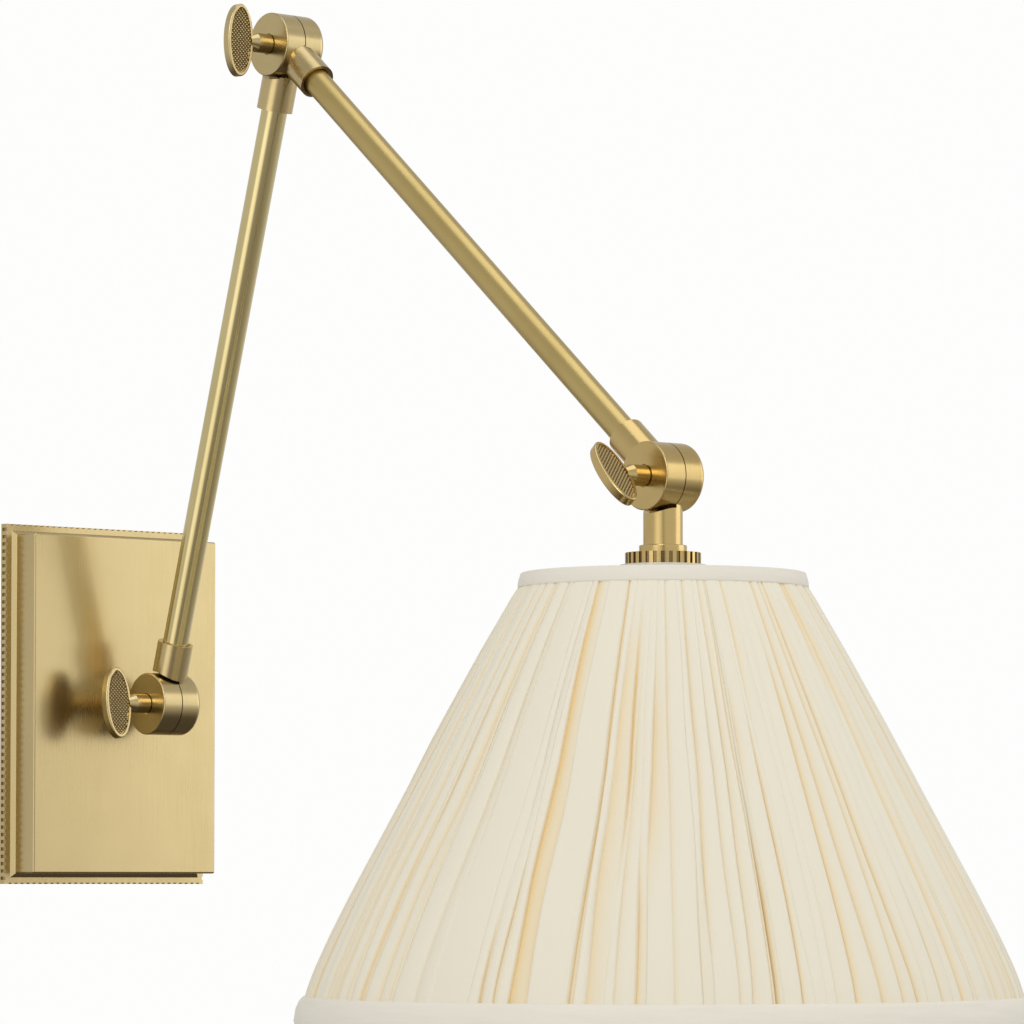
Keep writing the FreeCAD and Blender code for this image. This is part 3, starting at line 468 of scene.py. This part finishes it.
# ================================================================ cloth finishes
def weave(finish, thread):
    """Plain weave from the cloth's own width and length: threads over and under, with uneven yarn."""
    across, along, _ = finish.uv()
    over = (across * (TAU / thread)).sine()
    under = (along * (TAU / thread)).sine()
    warp = finish.noise(finish.join(across * 2200, along * 90, 0.0), 1, 2)
    weft = finish.noise(finish.join(across * 90, along * 2200, 0.0), 1, 2)
    return over * under * 0.25 + warp * 0.45 + weft * 0.3


def cloth(name, pale, deep, thread=0.42 * MM, crease=False, bump=0.16):
    """Soft matt cotton; where it is creased, light that has bounced between the folds turns it golden."""
    finish = Finish(name, Sheen_Weight=0.12, Sheen_Roughness=0.5, Specular_IOR_Level=0.25)
    place = finish.place()
    yarn = weave(finish, thread)
    clouds = finish.noise(place, 22, 3)
    base = finish.mix(((yarn - 0.4) * 0.5 + (clouds - 0.5) * 0.6 + 0.25).clipped(), pale, deep)
    if crease:
        # painted light: deep in a crease the cloth is turned golden, as light bounced between the folds would
        depth = finish.attribute("crease")
        base = finish.mix((depth * 1.15).clipped() * 0.9, base, IVORY_BOUNCE_GOLD)
    finish.colour(base)
    finish.roughness(0.82 + (yarn - 0.4) * 0.2)
    finish.bump(yarn, bump, 0.12 * MM)
    return finish.data


def dress(node, material):
    """Gives a carried-over node its finish."""
    mesh = frame["nodes"][node].data
    mesh.materials.clear()
    mesh.materials.append(material)


# ================================================================ meshes
def grid_mesh(name, points, uv, closed_rows=False, attributes=None):
    """A mesh from rows of points round a closed ring; closed_rows joins the last row to the first."""
    rows, columns = points.shape[:2]
    faces = []
    corner_uv = []
    around = uv[:, 1, 0] - uv[:, 0, 0]
    for row in range(rows if closed_rows else rows - 1):
        below = (row + 1) % rows
        low = below or row      # the strip that closes the rows has no cloth of its own
        for column in range(columns):
            right = (column + 1) % columns
            faces.append((row * columns + column, below * columns + column,
                          below * columns + right, row * columns + right))
            start, low_start = uv[row, column], uv[low, column]
            if right:
                end, low_end = uv[row, right], uv[low, right]
            else:
                end, low_end = start + (around[row], 0), low_start + (around[low], 0)
            corner_uv.extend((*start, *low_start, *low_end, *end))
    mesh = bpy.data.meshes.new(name)
    mesh.from_pydata(points.reshape(-1, 3).tolist(), [], faces)
    layer = mesh.uv_layers.new(name="cloth")
    layer.data.foreach_set("uv", np.array(corner_uv, np.float32))
    for label, values in (attributes or {}).items():
        made = mesh.attributes.new(label, "FLOAT", "POINT")
        made.data.foreach_set("value", values.astype(np.float32).ravel())
    mesh.polygons.foreach_set("use_smooth", [True] * len(mesh.polygons))
    mesh.update()
    thing = bpy.data.objects.new(name, mesh)
    scene.collection.objects.link(thing)
    return thing


def smooth(value, start, end):
    """0 before start, 1 after end and a soft step between."""
    share = np.clip((value - start) / (end - start), 0, 1)
    return share * share * (3 - 2 * share)


def waves(angle, rng, orders, size):
    """A smooth random curve round the ring, with about size as its height."""
    total = np.zeros_like(angle)
    for order in orders:
        total += np.sin(order * angle + rng.uniform(0, TAU)) * rng.uniform(0.5, 1)
    return total * size / math.sqrt(len(orders))


def cover_outline(share, hem, height):
    """Radius, drop and length of slant at a share of the way down the cover, from its top to its hem."""
    fine = np.linspace(-OUTLINE_MARGIN, 1 + OUTLINE_MARGIN, OUTLINE_SAMPLES)
    bent = np.interp(fine, OUTLINE_DEPTHS, OUTLINE_RADII)
    bent += np.minimum(fine, 0) * OUTLINE_TOP_SLOPE + np.maximum(fine - 1, 0) * OUTLINE_HEM_SLOPE
    window = np.hanning(OUTLINE_BLUR)
    bent = np.convolve(bent, window / window.sum(), "same")
    hair = 1e-9
    inside = (fine >= -hair) & (fine <= 1 + hair)
    radii = bent[inside] * hem
    drops = fine[inside] * height
    lengths = np.concatenate(([0], np.cumsum(np.hypot(np.diff(radii), np.diff(drops)))))
    run = share * lengths[-1]
    return np.interp(run, lengths, radii), np.interp(run, lengths, drops), run


def crease_lines(rng):
    """For every row and crease: its angle, the angle to the next crease, and how deep it is, from 0 to 1."""
    pitch = TAU / FOLDS
    share = np.linspace(0, 1, COVER_ROWS)[:, None]
    widths = rng.lognormal(0, FOLD_SPREAD, FOLDS)
    # each crease's place round the ring, in even folds
    number = np.concatenate(([0], np.cumsum(widths)[:-1])) * FOLDS / widths.sum()
    drift = waves(number * pitch, rng, (3, 5, 8, 11, 17), 0.034)
    sway = rng.uniform(0.02, 0.09, FOLDS) * pitch
    wander = sway * np.sin(share * rng.uniform(7, 15, FOLDS) + rng.uniform(0, TAU, FOLDS))
    top = (number + rng.uniform(-0.25, 0.25, FOLDS)) * pitch
    hem = (number + rng.uniform(-0.35, 0.35, FOLDS)) * pitch + drift
    bow = rng.uniform(-0.22, 0.22, FOLDS) * pitch
    angle = top + (hem - top) * share ** 0.85 + bow * np.sin(math.pi * share) + wander
    gaps = np.diff(angle, axis=1, append=angle[:, :1] + TAU)
    gaps = np.maximum(gaps, 0.25 * pitch)      # no two creases meet
    gaps *= TAU / gaps.sum(axis=1, keepdims=True)
    steps = np.concatenate((np.zeros((COVER_ROWS, 1)), np.cumsum(gaps, axis=1)[:, :-1]), axis=1)
    angle = angle[:, :1] + steps
    strong = rng.uniform(size=FOLDS) < STRONG_CREASES
    marked = rng.uniform(0.55, 1.0, FOLDS)
    faint = rng.uniform(0.15, 0.45, FOLDS)
    depth = np.where(strong, marked, faint) * np.ones_like(share)
    whole = rng.uniform(size=FOLDS) < WHOLE_CREASES
    start = rng.uniform(0.02, 0.72, FOLDS)
    depth *= np.where(whole, 1, 0.06 + 0.94 * smooth(share, start - 0.04, start + 0.22))
    for crease in range(FOLDS):
        chance = rng.uniform()
        at = rng.uniform(0.3, 0.95)
        if chance < FADING_CREASES:
            depth[:, crease] *= 1 - 0.9 * smooth(share[:, 0], at - 0.25, at + 0.08)
    depth = np.maximum(depth, 0.4 * smooth(share, 0.95, 1.0))
    return angle, gaps, depth


def pleated_cover():
    """The gathered cloth: uneven folds that fan from the top band to the hem, some lapping over the next."""
    low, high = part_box("shade_cover")
    centre = (low + high) / 2
    hem = (high.x - low.x) / 2
    rng = np.random.default_rng(11)
    angle, gaps, depth = crease_lines(rng)
    share = np.linspace(0, 1, COVER_ROWS)
    radius, drop, run = cover_outline(share, hem, high.z - low.z)
    radius = radius - TOP_TUCK * (1 - smooth(drop, 4 * MM, 11 * MM))
    # down the cover: how far the folds stand out, and how wide a crease's soft side and sharp side are
    relief = MM * np.interp(share, (0, 0.08, 0.35, 0.8, 0.97, 1), (0.8, 1.3, 2.3, 2.7, 2.1, 1.6))
    soft = MM * np.interp(share, (0, 0.15, 0.5, 1), (0.9, 1.8, 2.6, 2.6))[:, None]
    sharp = MM * np.interp(share, (0, 0.3, 1), (0.2, 0.26, 0.34))[:, None]
    full = rng.uniform(size=FOLDS) < FULL_FOLDS
    wide = rng.uniform(1.4, 2.2, FOLDS)
    narrow = rng.uniform(0.35, 1.1, FOLDS)
    ease = np.where(full, wide, narrow)
    # most folds lap one way on one half of the shade, and the other way on the other half
    side = np.sin(np.arange(FOLDS) * TAU / FOLDS + 1.4) + rng.normal(0, 0.55, FOLDS) > 0
    after = np.where(side, soft * ease, sharp)
    before = np.roll(np.where(side, sharp, soft * ease), -1, axis=1)
    tilt = rng.uniform(-1.1, 1.1, FOLDS) + 0.4 * np.sin(np.outer(share, rng.uniform(2, 7, FOLDS)))
    crown = rng.uniform(0.1, 0.4, FOLDS)
    steps = len(FOLD_STEPS)
    points = np.zeros((COVER_ROWS, FOLDS * steps, 3))
    crease = np.zeros((COVER_ROWS, FOLDS * steps))
    uv = np.zeros((COVER_ROWS, FOLDS * steps, 2))
    lean = waves(angle, rng, (1, 2, 4, 7), 0.5)
    width = gaps * radius[:, None]
    for step, u in enumerate(FOLD_STEPS):
        here = np.exp(-u * width / after) * depth
        ahead = np.exp(-(1 - u) * width / before) * np.roll(depth, -1, axis=1)
        face = tilt * (u - 0.5) * (1 if u else 0) + crown * (4 * u * (1 - u) - 0.6)
        height = face * 0.5 - here - ahead
        out = relief[:, None] * height
        at = angle + u * gaps + lean * relief[:, None] * (1 + height) / radius[:, None]
        reach = radius[:, None] + out
        column = slice(step, None, steps)
        points[:, column, 0] = centre.x + reach * np.sin(at)
        points[:, column, 1] = centre.y - reach * np.cos(at)
        points[:, column, 2] = high.z - drop[:, None]
        # how deep each point lies in a crease, which the cotton paints golden as bounced light
        crease[:, column] = np.clip(here ** 1.3 + ahead ** 1.3, 0, 1)
        uv[:, column, 0] = (angle - angle[:, :1] + u * gaps) * radius[:, None]
        uv[:, column, 1] = -run[:, None]
    cover = grid_mesh("gathered_cover", points, uv, attributes={"crease": crease})
    cover.data.materials.append(cloth("cover_cotton", IVORY, (0.79, 0.73, 0.59), crease=True))
    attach(cover, "shade_head")
    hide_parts("shade_cover")
    return cover


def ring_band(name, node, profile, finish, rng, ripple, segments=480):
    """A cloth tape round the shade; profile is its closed section: radius, height and share of the ripple."""
    low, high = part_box(node)
    centre = (low + high) / 2
    angle = np.arange(segments) / segments * TAU
    rows = []
    for radius, height, soft in profile:
        wobble = waves(angle, rng, (9, 14, 23, 37), ripple * soft)
        at = radius + wobble
        rows.append(np.stack((centre.x + at * np.sin(angle), centre.y - at * np.cos(angle),
                              height + wobble * 0.5), axis=1))
    points = np.array(rows)
    length = np.cumsum([0] + [math.dist(a[:2], b[:2]) for a, b in zip(profile, profile[1:])])
    uv = np.stack(np.broadcast_arrays(angle[None, :] * profile[0][0], -length[:, None]), axis=2)
    band = grid_mesh(name, points, uv, closed_rows=True)
    band.data.materials.append(finish)
    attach(band, "shade_head")
    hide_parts(node)
    return band


def slanted(radius, height, lean, across, up):
    """A point of a section: across is out from the cone's surface and up is along it."""
    out = across * math.cos(lean) - up * math.sin(lean)
    rise = across * math.sin(lean) + up * math.cos(lean)
    return radius + out, height + rise


def top_band(finish):
    """The flat tape round the top edge, folded over the top ring."""
    low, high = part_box("top_band")
    outer = (high.x - low.x) / 2
    inner = outer - TOP_TURN_IN
    foot = (outer - 1.95 * MM, low.z + 0.2 * MM)
    up = (high.z - foot[1] - TOP_SHOULDER) / math.cos(TOP_LEAN)
    # the rolled lower edge
    profile = [(foot[0] - 1.1 * MM, foot[1] + 0.1 * MM, 0.4),
               (foot[0] - 0.35 * MM, foot[1] - 0.25 * MM, 1.0),
               (*foot, 1.0)]
    # up the face
    face_steps = 8
    for part in range(1, face_steps):
        share = part / face_steps
        belly = 0.3 * MM * math.sin(math.pi * share)
        profile.append((*slanted(*foot, TOP_LEAN, belly, up * share), 0.6 * (1 - share) + 0.15))
    # over the shoulder
    shoulder = slanted(*foot, TOP_LEAN, 0, up)
    turn_steps = 5
    for part in range(turn_steps + 1):
        turn = math.pi / 2 * part / turn_steps
        radius = shoulder[0] - TOP_SHOULDER * (1 - math.cos(turn))
        profile.append((radius, shoulder[1] + TOP_SHOULDER * math.sin(turn), 0.2))
    # in across the top ring
    rim = profile[-1]
    for part in range(1, turn_steps + 1):
        profile.append((rim[0] + (inner - rim[0]) * part / turn_steps, rim[1], 0.15))
    # back out underneath
    profile.extend([(inner - 0.1 * MM, high.z - 0.9 * MM, 0.1),
                    (inner + 0.3 * MM, high.z - 1.5 * MM, 0.1),
                    (shoulder[0] - 2.2 * MM, high.z - 1.4 * MM, 0.1)])
    return ring_band("top_tape", "top_band", profile, finish, np.random.default_rng(3), 0.10 * MM)


def bottom_band(finish):
    """The soft rolled tape that binds the hem."""
    low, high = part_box("bottom_band")
    outer = (high.x - low.x) / 2
    tall = high.z - low.z
    slant = tall / math.cos(HEM_LEAN)
    seam = (outer - 0.6 * MM - tall * math.tan(HEM_LEAN), high.z - 0.2 * MM)
    profile = []
    # down the bulging face
    face_steps = 12
    for part in range(face_steps + 1):
        share = part / face_steps
        belly = HEM_BELLY * math.sin(math.pi * min(1, share * 1.06)) ** 0.5 - HEM_INSET
        point = slanted(*seam, HEM_LEAN, belly, -slant * 0.93 * share)
        profile.append((*point, 1.0 - 0.6 * share))
    # round the foot
    foot = profile[-1]
    turn_steps = 6
    for part in range(1, turn_steps):
        turn = math.pi * part / turn_steps
        radius = foot[0] - 1.7 * MM * (1 - math.cos(turn))
        profile.append((radius, foot[1] - 0.7 * MM * math.sin(turn), 0.4))
    # up the inside
    inner = (foot[0] - HEM_WIDTH, foot[1] + 0.3 * MM)
    for part in range(turn_steps + 1):
        share = part / turn_steps
        profile.append((*slanted(*inner, HEM_LEAN, 0, slant * 0.9 * share), 0.2))
    return ring_band("hem_tape", "bottom_band", profile, finish, np.random.default_rng(5), 0.22 * MM)


def lining_sheet():
    """The plain inner cloth, drawn in a little between the ribs."""
    low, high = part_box("shade_lining")
    centre = (low + high) / 2
    hem = (high.x - low.x) / 2
    rows, columns = 40, 360
    share = np.linspace(0, 1, rows)
    radius, drop, run = cover_outline(share, hem, high.z - low.z)
    angle = np.arange(columns) / columns * TAU
    scallop = -SCALLOP * np.abs(np.sin(RIBS / 2 * angle)) ** 0.7
    ease = np.sin(math.pi * share) * 0.8 + 0.2
    rng = np.random.default_rng(7)
    pucker = waves(angle, rng, (17, 29, 41), 0.16 * MM)
    reach = radius[:, None] + ease[:, None] * scallop[None, :] + pucker[None, :] - LINING_GAP
    points = np.stack((centre.x + reach * np.sin(angle), centre.y - reach * np.cos(angle),
                       np.broadcast_to(high.z - drop[:, None], reach.shape)), axis=2)
    uv = np.stack(np.broadcast_arrays(angle[None, :] * radius[:, None], -run[:, None]), axis=2)
    lining = grid_mesh("inner_lining", points, uv)
    lining.data.materials.append(cloth("lining_cotton", (0.85, 0.81, 0.71), (0.80, 0.75, 0.64)))
    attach(lining, "shade_head")
    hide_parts("shade_lining")
    return lining


def knurl(name, body, centre, turn, finish):
    """Rows of small pyramids cut into both recesses of a thumb screw's paddle."""
    verts = []
    crests = []
    faces = []
    known = {}

    def point(column, row, side, height):
        """A point of the grid, drawn in to the recess's oval edge if it lies beyond it."""
        key = (column, row, side)
        if key not in known:
            x, z = column * KNURL_PITCH, row * KNURL_PITCH
            beyond = max(1, math.hypot(x / KNURL_HALF_WIDE, z / KNURL_HALF_TALL))
            known[key] = len(verts)
            verts.append((x / beyond, side * (KNURL_FLOOR + height), z / beyond))
            crests.append(height / KNURL_CREST)
        return known[key]

    wide = int(KNURL_HALF_WIDE / KNURL_PITCH) + 1
    tall = int(KNURL_HALF_TALL / KNURL_PITCH) + 1
    for side in (-1, 1):
        for column in range(-wide, wide + 1):
            for row in range(-tall, tall + 1):
                x, z = column * KNURL_PITCH, row * KNURL_PITCH
                outside = math.hypot(x / KNURL_HALF_WIDE, z / KNURL_HALF_TALL) > KNURL_RIM
                if (column + row) % 2 or outside:
                    continue
                tip = point(column, row, side, KNURL_CREST)
                ring = [point(column + 1, row, side, 0), point(column, row + 1, side, 0),
                        point(column - 1, row, side, 0), point(column, row - 1, side, 0)]
                for place in range(4):
                    pair = (ring[place], ring[(place + 1) % 4])
                    faces.append((tip, *pair) if side < 0 else (tip, pair[1], pair[0]))
    mesh = bpy.data.meshes.new(name)
    mesh.from_pydata(verts, [], faces)
    made = mesh.attributes.new("crest", "FLOAT", "POINT")
    made.data.foreach_set("value", np.array(crests, np.float32))
    mesh.transform(Matrix.Translation(centre) @ Matrix.Rotation(math.radians(turn), 4, "X"))
    mesh.update()
    thing = bpy.data.objects.new(name, mesh)
    scene.collection.objects.link(thing)
    mesh.materials.append(finish)
    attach(thing, body)
    return thing


# ================================================================ studio
def studio_world():
    """A white room for the eye; for the brass, bright sides, a soft top and a darker ground."""
    finish = Finish("studio", world=True)
    scene.world = finish.data
    way = finish.node("TexCoord", output="Generated")
    _, y, z = finish.split(way)

    def panel(place, edge, core):
        """1 inside core degrees round a direction, 0 beyond edge degrees."""
        inputs = {0: way, 1: Vector(place).normalized()}
        aim = finish.node("VectorMath", {"operation": "DOT_PRODUCT"}, inputs, "Value")
        outer, inner = math.cos(math.radians(edge)), math.cos(math.radians(core))
        return ((aim - outer) / (inner - outer)).clipped()

    soft_box = panel((-2.2, -0.6, -0.5), 24, 10)
    dark_card = panel((-0.643, -0.766, 0.0), 10, 4)
    ground = ((z + 0.62) / 0.55).clipped()
    sky = 1 - ((z - 0.25) / 0.75).clipped() * 0.35
    room = 0.86 - y * 0.06
    light = (0.20 + ground * 0.74) * sky * room + soft_box * 1.1
    light = light * (1 - dark_card * 0.85) * WORLD_LEVEL
    tone = finish.mix(ground, (0.62, 0.54, 0.45), (1.0, 0.99, 0.97))
    shade = finish.node("VectorMath", {"operation": "SCALE"}, {"Vector": tone, "Scale": light})
    eye = finish.node("LightPath", output="Is Camera Ray")
    finish.feed(finish.shader.inputs["Color"], finish.mix(eye, shade, (0.985, 0.985, 0.98)))


def lamp(name, place, target, size, power, tone):
    light = bpy.data.lights.new(name, "AREA")
    light.shape = "RECTANGLE"
    light.size, light.size_y = size
    light.energy = power * LAMP_LEVEL
    light.color = tone
    thing = bpy.data.objects.new(name, light)
    thing.location = place
    thing.rotation_euler = (target - place).to_track_quat("-Z", "Y").to_euler()
    scene.collection.objects.link(thing)


def studio():
    studio_world()
    low, high = cad_bounds
    middle = (low + high) / 2
    for name, (place, size, power, tone) in LAMPS.items():
        lamp(name, middle + Vector(place), middle, size, power, tone)
    mesh = bpy.data.meshes.new("floor")
    corners = ((-1, -1), (1, -1), (1, 1), (-1, 1))
    verts = [(x * FLOOR_HALF, y * FLOOR_HALF, low.z - FLOOR_DROP) for x, y in corners]
    mesh.from_pydata(verts, [], [(0, 1, 2, 3)])
    floor = bpy.data.objects.new("floor", mesh)
    scene.collection.objects.link(floor)
    finish = Finish("pale_floor", Roughness=0.9)
    grain = finish.noise(finish.place(), 3, 2)
    finish.colour(finish.mix(grain, (0.86, 0.86, 0.85), (0.83, 0.83, 0.82)))
    mesh.materials.append(finish.data)
    floor.visible_glossy = False


def camera():
    lens = bpy.data.cameras.new("eye")
    lens.lens = EYE_LENS
    lens.sensor_width = EYE_SENSOR
    lens.shift_y = EYE_SHIFT
    lens.clip_start = 0.1
    lens.clip_end = 50
    thing = bpy.data.objects.new("eye", lens)
    level = math.cos(EYE_RISE)
    look = Vector((math.sin(EYE_TURN) * level, math.cos(EYE_TURN) * level, math.sin(EYE_RISE)))
    thing.location = EYE
    thing.rotation_euler = look.to_track_quat("-Z", "Y").to_euler()
    scene.collection.objects.link(thing)
    scene.camera = thing


# ================================================================ the part
def joint_place(name):
    places = {joint["name"]: joint["pos_m"] for joint in frame["joints"]}
    return Vector(places[name])


def brass_pieces():
    dress("cover_box", brass("plate_satin", upright_lines, rough=0.25, grain=0.02, patina=0.3))
    notches = coin_shadow(*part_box("base_plate"), 1.3 * MM)
    dress("base_plate", brass("plate_coin_edge", upright_lines, rough=0.25, grain=0.03, patina=0.4,
                              dark=notches))
    for arm, (tilt, base, deep, rough) in ARMS.items():
        # painted light and shade: the lower arm's brass is painted paler, the upper arm's darker
        dress(arm + "_arm_tube", brass(arm + "_tube_drawn", drawn_lines(tilt), base, deep, rough, grain=0.04))
    knuckles = {"wall": ("wall_knuckle", "lower_arm_foot_knuckle"),
                "elbow": ("lower_arm_head_knuckle", "upper_arm_foot_knuckle"),
                "shade": ("upper_arm_end_knuckle", "neck_knuckle")}
    for name, nodes in knuckles.items():
        lines = turned_lines(joint_place(name + "_hinge"))
        tones = (GOLD, GOLD_DEEP) if name == "shade" else (BRASS, BRASS_DEEP)
        finish = brass(name + "_knuckle_turned", lines, *tones, rough=0.24, grain=0.07, patina=0.6)
        for node in nodes:
            dress(node, finish)
        screw = brass(name + "_screw_turned", lines, *tones, rough=0.23, grain=0.06, patina=0.5)
        dress(name + "_thumb_screw", screw)
        cut = brass(name + "_knurl_cut", lines, rough=0.3, grain=0.05, dark=knurl_shadow)
        centre = joint_place(name + "_screw_turn")
        knurl(name + "_paddle_knurl", name + "_screw", centre, PADDLE_TURNS[name], cut)
    low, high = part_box("fluted_ring")
    axis = (low + high) / 2
    lines = round_lines(axis)
    valleys = flute_shadow(axis, (high.x - low.x) / 2, 0.7 * MM)
    dress("neck_collar", brass("collar_turned", lines, GOLD, GOLD_DEEP, rough=0.2))
    dress("fluted_ring", brass("ring_fluted", lines, GOLD, GOLD_DEEP, rough=0.2, dark=valleys))
    holder = brass("holder_satin", lines, rough=0.3, patina=0.7)
    for node in ("holder_cap", "holder_shell", "holder_screw_shell", "holder_centre_contact", "neck_nipple"):
        dress(node, holder)
    dress("side_screws", brass("side_screw_brass", upright_lines, rough=0.28))


def other_pieces():
    steel = zinc()
    for node in ("mounting_strap", "wall_nipple", "wall_lock_washer", "wall_lock_nut"):
        dress(node, steel)
    dress("ground_screw", green_head())
    washer = fibre()
    for node in ("wall_friction_washer", "elbow_friction_washer", "shade_friction_washer"):
        dress(node, washer)
    jacket = wire_jacket()
    for node in ("lower_arm_wire", "upper_arm_wire"):
        dress(node, jacket)
    dress("holder_core", porcelain())
    dress("bulb_cap", bulb_cap())
    dress("bulb_glass", frosted_glass())
    enamel = enamel_wire()
    for node in ("shade_spider", "shade_ribs"):
        dress(node, enamel)


def shade_pieces():
    tape = cloth("tape_cotton", TAPE, (0.75, 0.705, 0.615), thread=0.5 * MM, bump=0.22)
    over = top_band(tape)
    hem = bottom_band(tape)
    cover = pleated_cover()
    low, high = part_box("shade_cover")
    hem_radius = (high.x - low.x) / 2
    slant = float(cover_outline(np.array([1.0]), hem_radius, high.z - low.z)[2][0])
    lining = lining_sheet()


camera()
studio()
brass_pieces()
other_pieces()
shade_pieces()
scene.view_settings.view_transform = "Standard"
